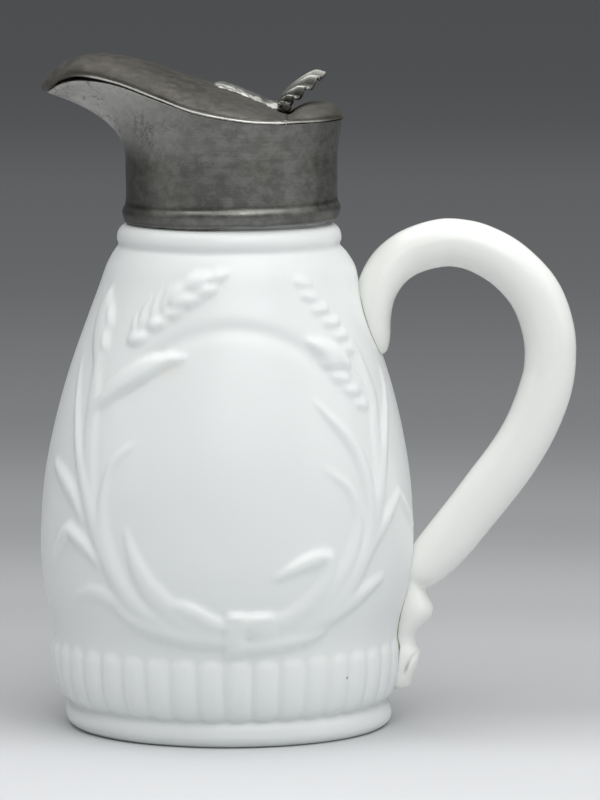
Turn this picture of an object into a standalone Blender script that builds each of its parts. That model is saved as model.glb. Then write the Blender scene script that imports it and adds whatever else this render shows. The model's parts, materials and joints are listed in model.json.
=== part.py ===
"""Opaque white glass molasses jug with a pewter collar, spout and hinged lid.

The moulded body carries a low wheat wreath on its front and back and a band of
flutes above its foot. A round glass handle is applied at one side. The pewter
collar grips the glass neck and runs out into a long spout. Its lid turns on a pin
behind the middle of the rim, lifted by a ribbed thumb-piece over a fixed rear cover.

Units are metres, and angles are in degrees. The origin is the middle of the flat
base. The spout points along -X, the handle along +X, and the wreath faces -Y and +Y.
"""

from dataclasses import dataclass

import bmesh
import bpy
import numpy as np
from mathutils import Matrix, Vector

GAP = 0.0003

# Glass body, heights above the base with their outside radii
BASE_RADIUS = 0.0345
NECK_TUBE_RADIUS = 0.0236
NECK_TOP = 0.1412
NECK_RING = ((0.1228, 0.0250), (0.1222, 0.0262), (0.1206, 0.0268), (0.1185, 0.0271), (0.1168, 0.0276))
BELLY = (
    (0.1154, 0.0285), (0.1125, 0.0300), (0.1076, 0.0317), (0.0978, 0.0353), (0.0879, 0.0386),
    (0.0781, 0.0414), (0.0682, 0.0436), (0.0584, 0.0450), (0.0465, 0.0457), (0.0386, 0.0453),
    (0.0326, 0.0443), (0.0266, 0.0428), (0.0222, 0.0422), (0.0150, 0.0418), (0.0100, 0.0406),
)
WAIST = (0.0074, 0.0387)
FOOT = ((0.0060, 0.0391), (0.0044, 0.0398), (0.0026, 0.0399), (0.0011, 0.0390), (0.0002, 0.0369))
WALL = 0.0038
FLOOR_THICKNESS = 0.0062
FLOOR_CORNER = 0.0120
BORE_RADIUS = 0.0201
BORE_START, BORE_END = 0.1080, 0.1220
LEAN = -0.0011
LEAN_FADE = 0.0080
TURNED_STEPS = 320
BODY_KEEP = 0.056

# Flutes above the foot
FLUTE_COUNT = 40
FLUTE_RISE = 0.0012
FLUTE_BOTTOM, FLUTE_TOP = 0.0084, 0.0232
FLUTE_ROUND = 0.0036

# Medallion that the wreath goes round, in arc length across and height
MEDALLION_CENTRE = (2.0, 0.0690)
MEDALLION_HALF = (0.0330, 0.0325)
MEDALLION_DEPTH = 0.0004
MEDALLION_EDGE = 0.0035

# Applied handle: x, height, radius in its own plane, half-width across
HANDLE = (
    (0.0346, 0.0905, 0.0022, 0.0040), (0.0346, 0.0918, 0.0036, 0.0062), (0.0346, 0.0950, 0.0043, 0.0082),
    (0.0348, 0.1000, 0.0047, 0.0090), (0.0366, 0.1065, 0.0057, 0.0082), (0.0407, 0.1130, 0.0060, 0.0066),
    (0.0465, 0.1170, 0.0059, 0.0060), (0.0532, 0.1181, 0.0059, 0.0060), (0.0605, 0.1168, 0.0060, 0.0061),
    (0.0683, 0.1125, 0.0062, 0.0062), (0.0745, 0.1056, 0.0064, 0.0064), (0.0779, 0.0965, 0.0064, 0.0064),
    (0.0783, 0.0882, 0.0063, 0.0063), (0.0768, 0.0811, 0.0064, 0.0064), (0.0734, 0.0725, 0.0064, 0.0064),
    (0.0689, 0.0649, 0.0064, 0.0064), (0.0635, 0.0577, 0.0064, 0.0064), (0.0584, 0.0512, 0.0063, 0.0063),
    (0.0530, 0.0444, 0.0063, 0.0063), (0.0483, 0.0388, 0.0057, 0.0060), (0.0453, 0.0348, 0.0046, 0.0056),
    (0.0442, 0.0320, 0.0043, 0.0056), (0.0438, 0.0293, 0.0062, 0.0064), (0.0430, 0.0258, 0.0055, 0.0062),
    (0.0420, 0.0220, 0.0041, 0.0058), (0.0416, 0.0180, 0.0050, 0.0066), (0.0410, 0.0138, 0.0048, 0.0070),
    (0.0404, 0.0105, 0.0041, 0.0066), (0.0402, 0.0086, 0.0033, 0.0054), (0.0401, 0.0080, 0.0022, 0.0040),
)

# Pewter collar, spout and rim
METAL = 0.0011
COLLAR_X = 0.0005
COLLAR_TILT = 0.021
COLLAR_ROWS = (
    (0.1240, 0.0260), (0.1249, 0.0266), (0.1262, 0.0268), (0.1275, 0.0264), (0.1286, 0.0259), (0.1340, 0.0258),
)
FLARE_START, FLARE_RADIUS = 0.1400, 0.0259
FLARE_BEND = 0.63
FLARE_BEND_RADIUS = 0.0266
RIM_RADIUS = 0.0270
SPOUT_TIP = -0.0443
NOSE = 0.0040
RIM_LINE = (
    (-0.0443, 0.1555), (-0.0412, 0.1580), (-0.0356, 0.1592), (-0.0268, 0.1577), (-0.0161, 0.1541),
    (-0.0082, 0.1515), (0.0021, 0.1496), (0.0100, 0.1489), (0.0200, 0.1488), (0.0280, 0.1488),
)

RIM_DROP = (
    (-0.0443, 0.0010), (-0.0400, 0.0013), (-0.0350, 0.0014), (-0.0250, 0.0013), (-0.0150, 0.0011),
    (-0.0080, 0.0009), (0.0280, 0.0009),
)

# Lid, rear cover and hinge. Their edges follow the rim line, and the collar stays below it.
LID_METAL = 0.0009
LID_OVERHANG = 0.0005
LID_TIP = -0.0458
LID_CROWN = (
    (-0.0458, 0.1562), (-0.0440, 0.1586), (-0.0413, 0.1613), (-0.0376, 0.1633), (-0.0320, 0.1643),
    (-0.0262, 0.1639), (-0.0192, 0.1621), (-0.0087, 0.1586), (0.0018, 0.1550), (0.0097, 0.1517), (0.0142, 0.1500),
)
COVER_CROWN = (
    (0.0142, 0.1496), (0.0157, 0.1504), (0.0174, 0.1516), (0.0198, 0.1524), (0.0229, 0.1527), (0.0252, 0.1520),
    (0.0269, 0.1504), (0.0276, 0.1493),
)
ARCH = 0.75
ARCH_BRINK = 0.0010
COVER_LIP = 0.0006
SEAM_X = 0.0141
HINGE = (0.0139, 0.1514)
KNUCKLE_RADIUS = 0.0015
KNUCKLE_HALF = 0.0019
EAR_OUTSIDE = 0.0050
PIN_RADIUS = 0.0006
PIN_HALF = 0.0053

# Thumb-piece: strap along the lid and a ribbed shell that leans back
STRAP_FRONT, STRAP_BACK = -0.0036, 0.0122
STRAP_HALF = 0.0036
STRAP_THICKNESS = 0.0013
STRAP_LIFT = 0.0005
SHELL_LINE = (
    (0.0116, 0.1520), (0.0121, 0.1545), (0.0143, 0.1569), (0.0176, 0.1590), (0.0211, 0.1604), (0.0238, 0.1606),
)
SHELL_HALF = ((0.0, 0.0018), (0.35, 0.0034), (0.70, 0.0056), (0.90, 0.0052), (1.0, 0.0034))
SHELL_CUP = 0.0023
SHELL_RIBS = 5
SHELL_RIB_RISE = 0.00035
SHELL_METAL = 0.0013


@dataclass(frozen=True)
class Blade:
    """A raised leaf or stem. Its path is (azimuth, height) points from the root up."""

    path: tuple
    width: float
    rise: float = 0.0009
    pointed: bool = True


@dataclass(frozen=True)
class Ear:
    """An ear of wheat on a path of (azimuth, height) points, with pairs of kernels."""

    path: tuple
    pairs: int = 5
    kernel: tuple = (0.0036, 0.0017)
    splay: float = 26.0
    rise: float = 0.0012


KNOT = (6.5, 0.0290)
STEMS = (
    Blade(((4, 0.0268), (-12, 0.0266), (-22, 0.0284), (-32, 0.0342), (-42, 0.0465), (-49, 0.0590), (-56, 0.0700),
           (-59, 0.0800), (-61, 0.0935)), 0.0032, 0.0008, False),
    Blade(((4, 0.0290), (-10, 0.0290), (-20, 0.0315), (-30, 0.0370), (-38, 0.0470), (-43, 0.0590), (-49, 0.0700),
           (-53, 0.0790), (-52, 0.0870), (-44, 0.0940)), 0.0030, 0.0008, False),
    Blade(((8, 0.0268), (20, 0.0272), (32, 0.0322), (42, 0.0413), (50, 0.0515), (56, 0.0640), (60, 0.0740),
           (60, 0.0860), (58, 0.0930)), 0.0030, 0.0008, False),
    Blade(((8, 0.0285), (18, 0.0292), (28, 0.0330), (36, 0.0400), (43, 0.0490), (50, 0.0600), (55, 0.0700),
           (58, 0.0785)), 0.0030, 0.0008, False),
)
LEAVES = (
    Blade(((-55, 0.0780), (-52, 0.0815), (-42, 0.0868), (-32, 0.0908), (-22, 0.0930), (-14, 0.0936)), 0.0062),
    Blade(((-38, 0.0420), (-41, 0.0520), (-42, 0.0610), (-38, 0.0680), (-29, 0.0732)), 0.0042),
    Blade(((-49, 0.0530), (-55, 0.0580), (-62, 0.0630), (-72, 0.0665), (-82, 0.0672)), 0.0046),
    Blade(((-42, 0.0440), (-48, 0.0475), (-54, 0.0510), (-59, 0.0517), (-64, 0.0475), (-69, 0.0420)), 0.0044),
    Blade(((-24, 0.0290), (-34, 0.0335), (-43, 0.0362), (-51, 0.0360), (-61, 0.0322)), 0.0036, 0.0007),
    Blade(((-2, 0.0300), (-12, 0.0308), (-19, 0.0345), (-25, 0.0400), (-29, 0.0460), (-34, 0.0535)), 0.0036),
    Blade(((0, 0.0300), (-5, 0.0318), (-10, 0.0343), (-16, 0.0363)), 0.0032),
    Blade(((15, 0.0300), (23, 0.0335), (29, 0.0383), (33, 0.0435), (31, 0.0476), (25, 0.0472), (13, 0.0425)), 0.0036),
    Blade(((24, 0.0300), (33, 0.0355), (39, 0.0435), (43, 0.0540), (41, 0.0610), (35, 0.0660), (29, 0.0688)), 0.0040),
    Blade(((37, 0.0385), (44, 0.0460), (48, 0.0550), (48, 0.0640), (44, 0.0725), (37, 0.0785), (29, 0.0838)), 0.0040),
    Blade(((44, 0.0430), (51, 0.0485), (58, 0.0550), (64, 0.0583), (69, 0.0530), (73, 0.0465)), 0.0044),
    Blade(((20, 0.0280), (30, 0.0312), (38, 0.0342), (47, 0.0380), (56, 0.0410)), 0.0042),
    Blade(((56, 0.0660), (62, 0.0720), (68, 0.0800), (72, 0.0880)), 0.0040, 0.0007),
)
EARS = (
    Ear(((-44, 0.0935), (-36, 0.0995), (-26, 0.1040), (-15, 0.1082), (-4, 0.1120))),
    Ear(((-61, 0.0930), (-63, 0.0985), (-66, 0.1045), (-70, 0.1105))),
    Ear(((58, 0.0935), (52, 0.0985), (45, 0.1035), (37, 0.1090)), 4),
    Ear(((60, 0.0785), (53, 0.0840), (45, 0.0905), (35, 0.0970))),
)


def smooth_path(points, steps):
    """Points on a smooth curve through the given ones, with some steps to each stretch."""
    p = np.asarray(points, float)
    p = np.vstack([2 * p[0] - p[1], p, 2 * p[-1] - p[-2]])
    t = np.linspace(0.0, 1.0, steps, endpoint=False)[:, None]
    stretches = [
        b + 0.5 * ((c - a) * t + (2 * a - 5 * b + 4 * c - d) * t**2 + (3 * b - a - 3 * c + d) * t**3)
        for a, b, c, d in zip(p, p[1:], p[2:], p[3:])
    ]
    return np.vstack(stretches + [p[-2:-1]])


def height_on(line, x):
    """Height of a smooth line of (x, height) points at x."""
    curve = smooth_path(line, 8)
    return np.interp(x, curve[:, 0], curve[:, 1])


def ease(low, high, value):
    """0 below low, 1 above high, and smooth between them."""
    t = np.clip((value - low) / (high - low), 0.0, 1.0)
    return t * t * (3 - 2 * t)


def outside_outline():
    """The glass from the top of the neck down to the base, as (height, radius) rows."""
    neck = [(NECK_TOP, NECK_TUBE_RADIUS), (NECK_RING[0][0], NECK_TUBE_RADIUS)]
    belly = smooth_path(BELLY, 8)
    return np.vstack([neck, NECK_RING, belly, [WAIST], FOOT, [(0.0, BASE_RADIUS)]])


def outside_radius(height):
    """Radius of the glass at a height, without its relief."""
    outline = outside_outline()[2:]
    return np.interp(height, outline[::-1, 0], outline[::-1, 1])


def inside_outline(steps=26):
    """The hollow from the middle of its floor up to the rim, as (height, radius) rows."""
    heights = FLOOR_THICKNESS + (NECK_TOP - FLOOR_THICKNESS) * np.linspace(0, 1, steps) ** 1.3
    radii = outside_radius(np.maximum(heights, FLUTE_TOP)) - WALL
    radii += (BORE_RADIUS - radii) * ease(BORE_START, BORE_END, heights)
    corner = np.clip((FLOOR_THICKNESS + FLOOR_CORNER - heights) / FLOOR_CORNER, 0, 1)
    radii -= FLOOR_CORNER * (1 - np.sqrt(1 - corner**2))
    return np.vstack([[(FLOOR_THICKNESS, 0.0)], np.column_stack([heights, radii])])


def lean_at(height):
    """Sideways lean of the glass, none at the base and at the neck."""
    q = np.clip(height / NECK_RING[-1][0], 0, 1)
    return LEAN * (1 - q) * (1 - np.exp(-height / LEAN_FADE))


def turned(name, rows, steps):
    """A mesh object turned about Z from (height, radius) rows that start and end on the axis."""
    mesh = bpy.data.meshes.new(name + "_outline")
    points = [(radius, 0.0, height) for height, radius in rows]
    mesh.from_pydata(points, [(i, i + 1) for i in range(len(points) - 1)], [])
    outline = bpy.data.objects.new(name + "_outline", mesh)
    bpy.context.scene.collection.objects.link(outline)
    screw = outline.modifiers.new("Screw", "SCREW")
    screw.steps = screw.render_steps = steps
    screw.use_merge_vertices = True
    screw.merge_threshold = 1e-6
    return as_mesh(outline, name)


def as_mesh(source, name):
    """A new object with the source's evaluated mesh, welded. The source is removed."""
    graph = bpy.context.evaluated_depsgraph_get()
    graph.update()
    mesh = bpy.data.meshes.new_from_object(source.evaluated_get(graph))
    mesh.name = name
    made = bpy.data.objects.new(name, mesh)
    made.matrix_world = source.matrix_world
    bpy.context.scene.collection.objects.link(made)
    bpy.data.objects.remove(source)
    shape = bmesh.new()
    shape.from_mesh(mesh)
    bmesh.ops.remove_doubles(shape, verts=shape.verts, dist=1e-6)
    bmesh.ops.recalc_face_normals(shape, faces=shape.faces)
    shape.to_mesh(mesh)
    shape.free()
    return made


def points_of(mesh):
    """The mesh's vertices as an array."""
    points = np.empty(len(mesh.vertices) * 3)
    mesh.vertices.foreach_get("co", points)
    return points.reshape(-1, 3)


def put_points(mesh, points):
    """Writes an array of vertices back to its mesh."""
    mesh.vertices.foreach_set("co", points.ravel())
    mesh.update()


def on_surface(path):
    """A path of (azimuth, height) points as arc length and height on the glass."""
    curve = smooth_path(path, 6)
    return np.column_stack([np.radians(curve[:, 0]) * outside_radius(curve[:, 1]), curve[:, 1]])


def along(points, path):
    """Each point's distance from a path, and how far along the path it is, from 0 to 1."""
    best = np.full(len(points), np.inf)
    place = np.zeros(len(points))
    lengths = np.linalg.norm(np.diff(path, axis=0), axis=1)
    run = np.concatenate([[0], np.cumsum(lengths)]) / lengths.sum()
    for i, (a, b) in enumerate(zip(path, path[1:])):
        t = np.clip((points - a) @ (b - a) / lengths[i] ** 2, 0, 1)
        away = np.linalg.norm(points - a - t[:, None] * (b - a), axis=1)
        nearer = away < best
        best[nearer] = away[nearer]
        place[nearer] = (run[i] + t * (run[i + 1] - run[i]))[nearer]
    return best, place


def blade_height(points, blade):
    """Rise of a leaf or stem over the glass at each point."""
    away, place = along(points, on_surface(blade.path))
    half = np.full(len(points), blade.width / 2)
    if blade.pointed:
        half *= np.minimum(1.0, 0.45 + 1.6 * place) * np.sqrt(np.clip(1 - place, 0, 1) / 0.35).clip(0.0, 1.0)
    across = np.clip(away / np.maximum(half, 1e-5), 0, 1)
    return blade.rise * np.sqrt(1 - across**2) * (0.6 + 0.4 * half / (blade.width / 2))


def ear_height(points, ear):
    """Rise of an ear's kernels, set in pairs with one at the tip."""
    axis = on_surface(ear.path)
    height = np.zeros(len(points))
    for k in range(2 * ear.pairs + 1):
        place = (k + 0.6) / (2 * ear.pairs + 1) * (len(axis) - 1)
        i = min(int(place), len(axis) - 2)
        middle = axis[i] + (place - i) * (axis[i + 1] - axis[i])
        heading = axis[i + 1] - axis[i]
        angle = np.arctan2(heading[1], heading[0])
        side = 0 if k == 2 * ear.pairs else 1 - 2 * (k % 2)
        normal = np.array([-np.sin(angle), np.cos(angle)])
        middle = middle + side * normal * ear.kernel[1]
        angle += side * np.radians(ear.splay)
        u, v = points[:, 0] - middle[0], points[:, 1] - middle[1]
        p = (u * np.cos(angle) + v * np.sin(angle)) / ear.kernel[0]
        q = (v * np.cos(angle) - u * np.sin(angle)) / ear.kernel[1]
        q = q / np.clip(1 - 0.45 * p, 0.5, 1.5)
        height = np.maximum(height, ear.rise * np.sqrt(np.clip(1 - p * p - q * q, 0, 1)))
    return height


def knot_height(points):
    """Rise of the tie round the stems, a level band with two ends below it."""
    x = np.radians(KNOT[0]) * outside_radius(KNOT[1])
    band = ((0.0, 0.0033, 0.0066, 0.0013, 0.0015), (0.0, -0.0002, 0.0050, 0.0028, 0.0011),
            (-0.0020, -0.0046, 0.0030, 0.0014, 0.0011))
    height = np.zeros(len(points))
    for offset, up, half_x, half_z, rise in band:
        p = np.abs(points[:, 0] - x - offset) / half_x
        q = np.abs(points[:, 1] - KNOT[1] - up) / half_z
        height = np.maximum(height, rise * np.clip(1 - p**4 - q**4, 0, 1) ** 0.5)
    return height


def flute_height(azimuth, height):
    """Rise of the flutes, each a rounded rib with a round top."""
    across = np.mod(azimuth / 360 * FLUTE_COUNT, 1.0) * 2 - 1
    top = np.clip((height - FLUTE_TOP + FLUTE_ROUND) / FLUTE_ROUND, 0, None)
    bottom = np.clip((FLUTE_BOTTOM + FLUTE_ROUND / 2 - height) / (FLUTE_ROUND / 2), 0, None)
    return FLUTE_RISE * np.sqrt(np.clip(1 - across**2 - top**2 - bottom**2, 0, 1))


def medallion_height(points):
    """The oval medallion's step below the glass, with a soft edge."""
    x = np.radians(MEDALLION_CENTRE[0]) * outside_radius(MEDALLION_CENTRE[1])
    away = np.hypot((points[:, 0] - x) / MEDALLION_HALF[0], (points[:, 1] - MEDALLION_CENTRE[1]) / MEDALLION_HALF[1])
    return -MEDALLION_DEPTH * ease(0, MEDALLION_EDGE / MEDALLION_HALF[0], 1 - away)


def relief(points):
    """Rise of the whole moulded design over the turned glass, at points of its outside."""
    azimuth = np.degrees(np.arctan2(points[:, 0], -points[:, 1]))
    height = points[:, 2]
    facing = np.where(np.abs(azimuth) > 90, azimuth - 180 * np.sign(azimuth), azimuth)
    flat = np.column_stack([np.radians(facing) * outside_radius(height), height])
    rise = np.zeros(len(points))
    for blade in STEMS + LEAVES:
        rise = np.maximum(rise, blade_height(flat, blade))
    for ear in EARS:
        rise = np.maximum(rise, ear_height(flat, ear))
    rise = np.maximum(rise, knot_height(flat))
    return np.maximum(rise, flute_height(azimuth, height)) + medallion_height(flat)


def glass_body():
    """The moulded jug: turned, then raised by its relief, then thinned out."""
    rows = np.vstack([inside_outline(), outside_outline(), [(0.0, 0.0)]])
    body = turned("glass_body", rows, TURNED_STEPS)
    points = points_of(body.data)
    radius = np.hypot(points[:, 0], points[:, 1])
    moulded = (radius > outside_radius(points[:, 2]) - WALL / 4) & (points[:, 2] < BELLY[0][0])
    moulded &= points[:, 2] > WAIST[0]
    grown = 1 + relief(points[moulded]) / radius[moulded]
    points[moulded, :2] *= grown[:, None]
    points[:, 0] += lean_at(points[:, 2])
    put_points(body.data, points)
    thin = body.modifiers.new("Decimate", "DECIMATE")
    thin.ratio = BODY_KEEP
    return body


def handle_path():
    """The handle's middle line with its two radii, as a smooth run of rows."""
    return smooth_path(HANDLE, 2)


def glass_handle():
    """The applied handle: a bevelled curve, spread where it is pressed on, cut to the body."""
    path = handle_path()
    curve = bpy.data.curves.new("glass_handle_line", "CURVE")
    curve.dimensions = "3D"
    curve.bevel_depth = 1.0
    curve.bevel_resolution = 3
    curve.use_fill_caps = True
    line = curve.splines.new("POLY")
    line.points.add(len(path) - 1)
    for point, (x, z, radius, _) in zip(line.points, path):
        point.co = (x, 0.0, z, 1.0)
        point.radius = radius
    source = bpy.data.objects.new("glass_handle_line", curve)
    bpy.context.scene.collection.objects.link(source)
    handle = as_mesh(source, "glass_handle")
    points = points_of(handle.data)
    nearest = np.argmin(np.linalg.norm(points[:, None, [0, 2]] - path[None, :, :2], axis=2), axis=1)
    points[:, 1] *= (path[:, 3] / path[:, 2])[nearest]
    put_points(handle.data, points)
    cut(handle, body_clearance())
    return handle


def body_clearance():
    """A cutter of the glass body's outside with the working gap added, flutes and all."""
    outline = outside_outline()[2:]
    heights, radii = outline[:, 0], outline[:, 1].copy()
    fluted = (heights > WAIST[0]) & (heights < FLUTE_TOP + 0.0005)
    radii[fluted] += FLUTE_RISE
    rows = np.vstack([[(heights[0], 0.0)], np.column_stack([heights, radii + 1.4 * GAP]), [(0.0, 0.0)]])
    cutter = turned("glass_body_clearance", rows, 96)
    points = points_of(cutter.data)
    points[:, 0] += lean_at(points[:, 2])
    put_points(cutter.data, points)
    return cutter


def as_cutter(tool):
    """Marks a helper as a cutter, drawn in wire and left out of the object."""
    tool.hide_render = True
    tool.display_type = "WIRE"
    return tool


def cut(target, tool, solver="EXACT"):
    """Takes the tool's shape out of the target."""
    boolean = target.modifiers.new("Cut " + tool.name, "BOOLEAN")
    boolean.operation = "DIFFERENCE"
    boolean.solver = solver
    boolean.object = as_cutter(tool)


def join(target, tool, solver="MANIFOLD"):
    """Adds the tool's shape to the target."""
    boolean = target.modifiers.new("Join " + tool.name, "BOOLEAN")
    boolean.operation = "UNION"
    boolean.solver = solver
    boolean.object = as_cutter(tool)


def block(name, low, high):
    """A box between two corners."""
    shape = bmesh.new()
    middle = (Vector(low) + Vector(high)) / 2
    size = Vector(high) - Vector(low)
    bmesh.ops.create_cube(shape, size=1.0, matrix=Matrix.Translation(middle) @ Matrix.Diagonal((*size, 1.0)))
    return object_of(name, shape)


def rod(name, radius, low_y, high_y, sides=20):
    """A cylinder along Y on the hinge axis."""
    shape = bmesh.new()
    place = Matrix.Translation((HINGE[0], (low_y + high_y) / 2, HINGE[1])) @ Matrix.Rotation(np.pi / 2, 4, "X")
    bmesh.ops.create_cone(
        shape, cap_ends=True, segments=sides, radius1=radius, radius2=radius, depth=high_y - low_y, matrix=place
    )
    return object_of(name, shape)


def object_of(name, shape):
    """A scene object from a bmesh."""
    mesh = bpy.data.meshes.new(name)
    shape.to_mesh(mesh)
    shape.free()
    made = bpy.data.objects.new(name, mesh)
    bpy.context.scene.collection.objects.link(made)
    return made


def sheet(name, grid, thickness, closed=False):
    """An open surface through rows of points, made solid inwards. Closed rows run round."""
    grid = np.asarray(grid)
    rows, columns = grid.shape[:2]
    mesh = bpy.data.meshes.new(name)
    faces = []
    for i in range(rows - 1):
        for j in range(columns if closed else columns - 1):
            k = (j + 1) % columns
            faces.append((i * columns + j, i * columns + k, (i + 1) * columns + k, (i + 1) * columns + j))
    mesh.from_pydata(grid.reshape(-1, 3).tolist(), [], faces)
    made = bpy.data.objects.new(name, mesh)
    bpy.context.scene.collection.objects.link(made)
    solid = made.modifiers.new("Solidify", "SOLIDIFY")
    solid.thickness = thickness
    solid.offset = -1.0
    return made


def rim_half_width(x, tip=SPOUT_TIP, radius=RIM_RADIUS):
    """Half-width of the rim seen from above: a round collar that runs out to a nose."""
    reach = COLLAR_X - tip
    b = 2 * NOSE * reach + reach**2 - radius**2
    slope = (b - np.sqrt(b**2 - (2 * NOSE * radius) ** 2)) / (2 * NOSE**2)
    touch = (reach - slope * NOSE) / (slope + 1)
    s = np.clip(x - tip, 0, None)
    nose = np.sqrt(slope * (s**2 + 2 * NOSE * s))
    ring = np.sqrt(np.clip(radius**2 - (x - COLLAR_X) ** 2, 0, None))
    return np.where(s < touch, nose, ring)


def rim_outline(count):
    """The rim seen from above, as points at even steps round it from the spout's tip."""
    turn = np.linspace(0, np.pi, 400)
    x = SPOUT_TIP + (COLLAR_X + RIM_RADIUS - SPOUT_TIP) * (1 - np.cos(turn)) / 2
    half = np.column_stack([x, -rim_half_width(x)])
    half[-1, 1] = 0.0
    outline = np.vstack([half, half[-2:0:-1] * (1, -1), half[:1]])
    run = np.concatenate([[0], np.cumsum(np.linalg.norm(np.diff(outline, axis=0), axis=1))])
    steps = np.linspace(0, run[-1], count, endpoint=False)
    return np.column_stack([np.interp(steps, run, outline[:, 0]), np.interp(steps, run, outline[:, 1])])


def collar():
    """The pewter collar: bead, waist, and the flare that runs out into the spout."""
    rim = rim_outline(52)
    turn = np.arctan2(rim[:, 1], rim[:, 0] - COLLAR_X)
    ring = np.column_stack([np.cos(turn), np.sin(turn)])
    top = np.column_stack([rim, height_on(RIM_LINE, rim[:, 0]) - height_on(RIM_DROP, rim[:, 0])])

    def level(height, radius):
        plan = ring * radius + (COLLAR_X, 0.0)
        return np.column_stack([plan, height + COLLAR_TILT * plan[:, 0]])

    rows = [level(height, radius) for height, radius in COLLAR_ROWS]
    start = level(FLARE_START, FLARE_RADIUS)
    bend = level(FLARE_START, FLARE_BEND_RADIUS)
    bend[:, 2] += FLARE_BEND * (top[:, 2] - start[:, 2])
    for t in np.linspace(0, 1, 6):
        rows.append((1 - t) ** 2 * start + 2 * t * (1 - t) * bend + t**2 * top)
    return sheet("collar", rows, METAL, closed=True)


def arched(stations, crown, radius):
    """Rows of points over the rim at stations along X, arched up to a crown line."""
    across = np.sin(np.linspace(np.pi / 2, -np.pi / 2, 11))
    rows = []
    for x in stations:
        edge = height_on(RIM_LINE, x)
        rise = max(height_on(crown, x) - edge, 0.0004)
        half = rim_half_width(x, LID_TIP, radius)
        brink = min(ARCH_BRINK, rise / 2)
        arch = [(x, half * v, edge + brink + (rise - brink) * (1 - v * v) ** ARCH) for v in across]
        rows.append([(x, half, edge), *arch, (x, -half, edge)])
    return np.array(rows)


def filled(name, rows, lip):
    """A solid under rows of points, raised by a lip, with its floor along the rim."""
    mesh = bpy.data.meshes.new(name)
    count, wide = rows.shape[:2]
    faces = [
        (i * wide + j, i * wide + j + 1, (i + 1) * wide + j + 1, (i + 1) * wide + j)
        for i in range(count - 1)
        for j in range(wide - 1)
    ]
    mesh.from_pydata(rows.reshape(-1, 3).tolist(), [], faces)
    shape = bmesh.new()
    shape.from_mesh(mesh)
    bpy.data.meshes.remove(mesh)
    made = bmesh.ops.extrude_face_region(shape, geom=shape.faces[:])
    for raised in (item for item in made["geom"] if isinstance(item, bmesh.types.BMVert)):
        raised.co.z += lip
    for vertex in shape.verts:
        if vertex not in made["geom"]:
            vertex.co.z = height_on(RIM_LINE, vertex.co.x)
    bmesh.ops.recalc_face_normals(shape, faces=shape.faces)
    return object_of(name, shape)


def lid():
    """The long arched lid, open behind for the hinge."""
    stations = LID_TIP + 0.0005 + (SEAM_X - LID_TIP - 0.0005) * np.linspace(0, 1, 22) ** 1.15
    cover = sheet("lid", arched(stations, LID_CROWN, RIM_RADIUS + LID_OVERHANG), LID_METAL)
    cut(cover, block("lid_notch", (HINGE[0] - 0.0020, -0.0056, 0.14), (0.02, 0.0056, 0.16)))
    return cover


def rear_cover():
    """The fixed hump behind the lid, with two ears that hold the hinge pin."""
    end = COLLAR_X + RIM_RADIUS + LID_OVERHANG - GAP
    stations = SEAM_X + 2 * GAP + (end - SEAM_X - 2 * GAP) * np.sin(np.linspace(0, np.pi / 2, 9))
    cover = filled("rear_cover", arched(stations, COVER_CROWN, RIM_RADIUS + LID_OVERHANG), COVER_LIP)
    cut(cover, block("cover_notch", (0.01, -0.0056, 0.14), (HINGE[0] + 0.0021, 0.0056, 0.16)), "MANIFOLD")
    ears = {"near": (-EAR_OUTSIDE, -KNUCKLE_HALF - GAP), "far": (KNUCKLE_HALF + GAP, EAR_OUTSIDE)}
    for side, (low, high) in ears.items():
        join(cover, rod(f"ear_{side}", KNUCKLE_RADIUS, low, high))
        web_low = (HINGE[0], low + 0.0001, HINGE[1] - 0.0013)
        web_high = (0.0176, high - 0.0001, HINGE[1] - 0.0005)
        join(cover, block(f"ear_web_{side}", web_low, web_high))
    cut(cover, rod("ear_bore", PIN_RADIUS + GAP, -EAR_OUTSIDE - GAP, EAR_OUTSIDE + GAP), "MANIFOLD")
    return cover


def hinge_pin():
    """The pin that the lid turns on."""
    return rod("hinge_pin", PIN_RADIUS, -PIN_HALF, PIN_HALF)


def strap():
    """The thumb-piece's foot, a thick strip along the lid's crown."""
    stations = np.linspace(STRAP_FRONT, STRAP_BACK, 8)
    rows = []
    for x in stations:
        narrow = np.sqrt(np.clip((x - STRAP_FRONT) / 0.003, 0.3, 1.0))
        crown = height_on(LID_CROWN, x) + STRAP_LIFT + STRAP_THICKNESS
        rows.append([(x, STRAP_HALF * narrow * v, crown) for v in np.linspace(1, -1, 5)])
    return sheet("thumb_strap", rows, STRAP_THICKNESS)


def shell():
    """The ribbed shell that the thumb presses, cupped and leaning back."""
    middle = smooth_path(SHELL_LINE, 2)
    rows = []
    for i, (x, z) in enumerate(middle):
        place = i / (len(middle) - 1)
        ahead = middle[min(i + 1, len(middle) - 1)] - middle[max(i - 1, 0)]
        normal = np.array([-ahead[1], ahead[0]]) / np.linalg.norm(ahead)
        half = np.interp(place, *np.transpose(SHELL_HALF))
        row = []
        for v in np.linspace(1, -1, 4 * SHELL_RIBS - 3):
            out = SHELL_RIB_RISE * np.cos(v * SHELL_RIBS * np.pi) * place - SHELL_CUP * v * v * place**0.5
            row.append((x + out * normal[0], half * v, z + out * normal[1]))
        rows.append(row)
    return sheet("thumb_shell", rows, SHELL_METAL)


def thumb_lift():
    """Strap, shell and middle knuckle in one casting, with the pin's bore through it."""
    lift = rod("thumb_lift", KNUCKLE_RADIUS, -KNUCKLE_HALF, KNUCKLE_HALF)
    join(lift, block("thumb_root", (0.0098, -0.0018, 0.1523), (0.0145, 0.0018, 0.1548)))
    join(lift, strap())
    join(lift, shell())
    cut(lift, rod("knuckle_bore", PIN_RADIUS + GAP, -KNUCKLE_HALF - GAP, KNUCKLE_HALF + GAP), "MANIFOLD")
    return lift


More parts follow.
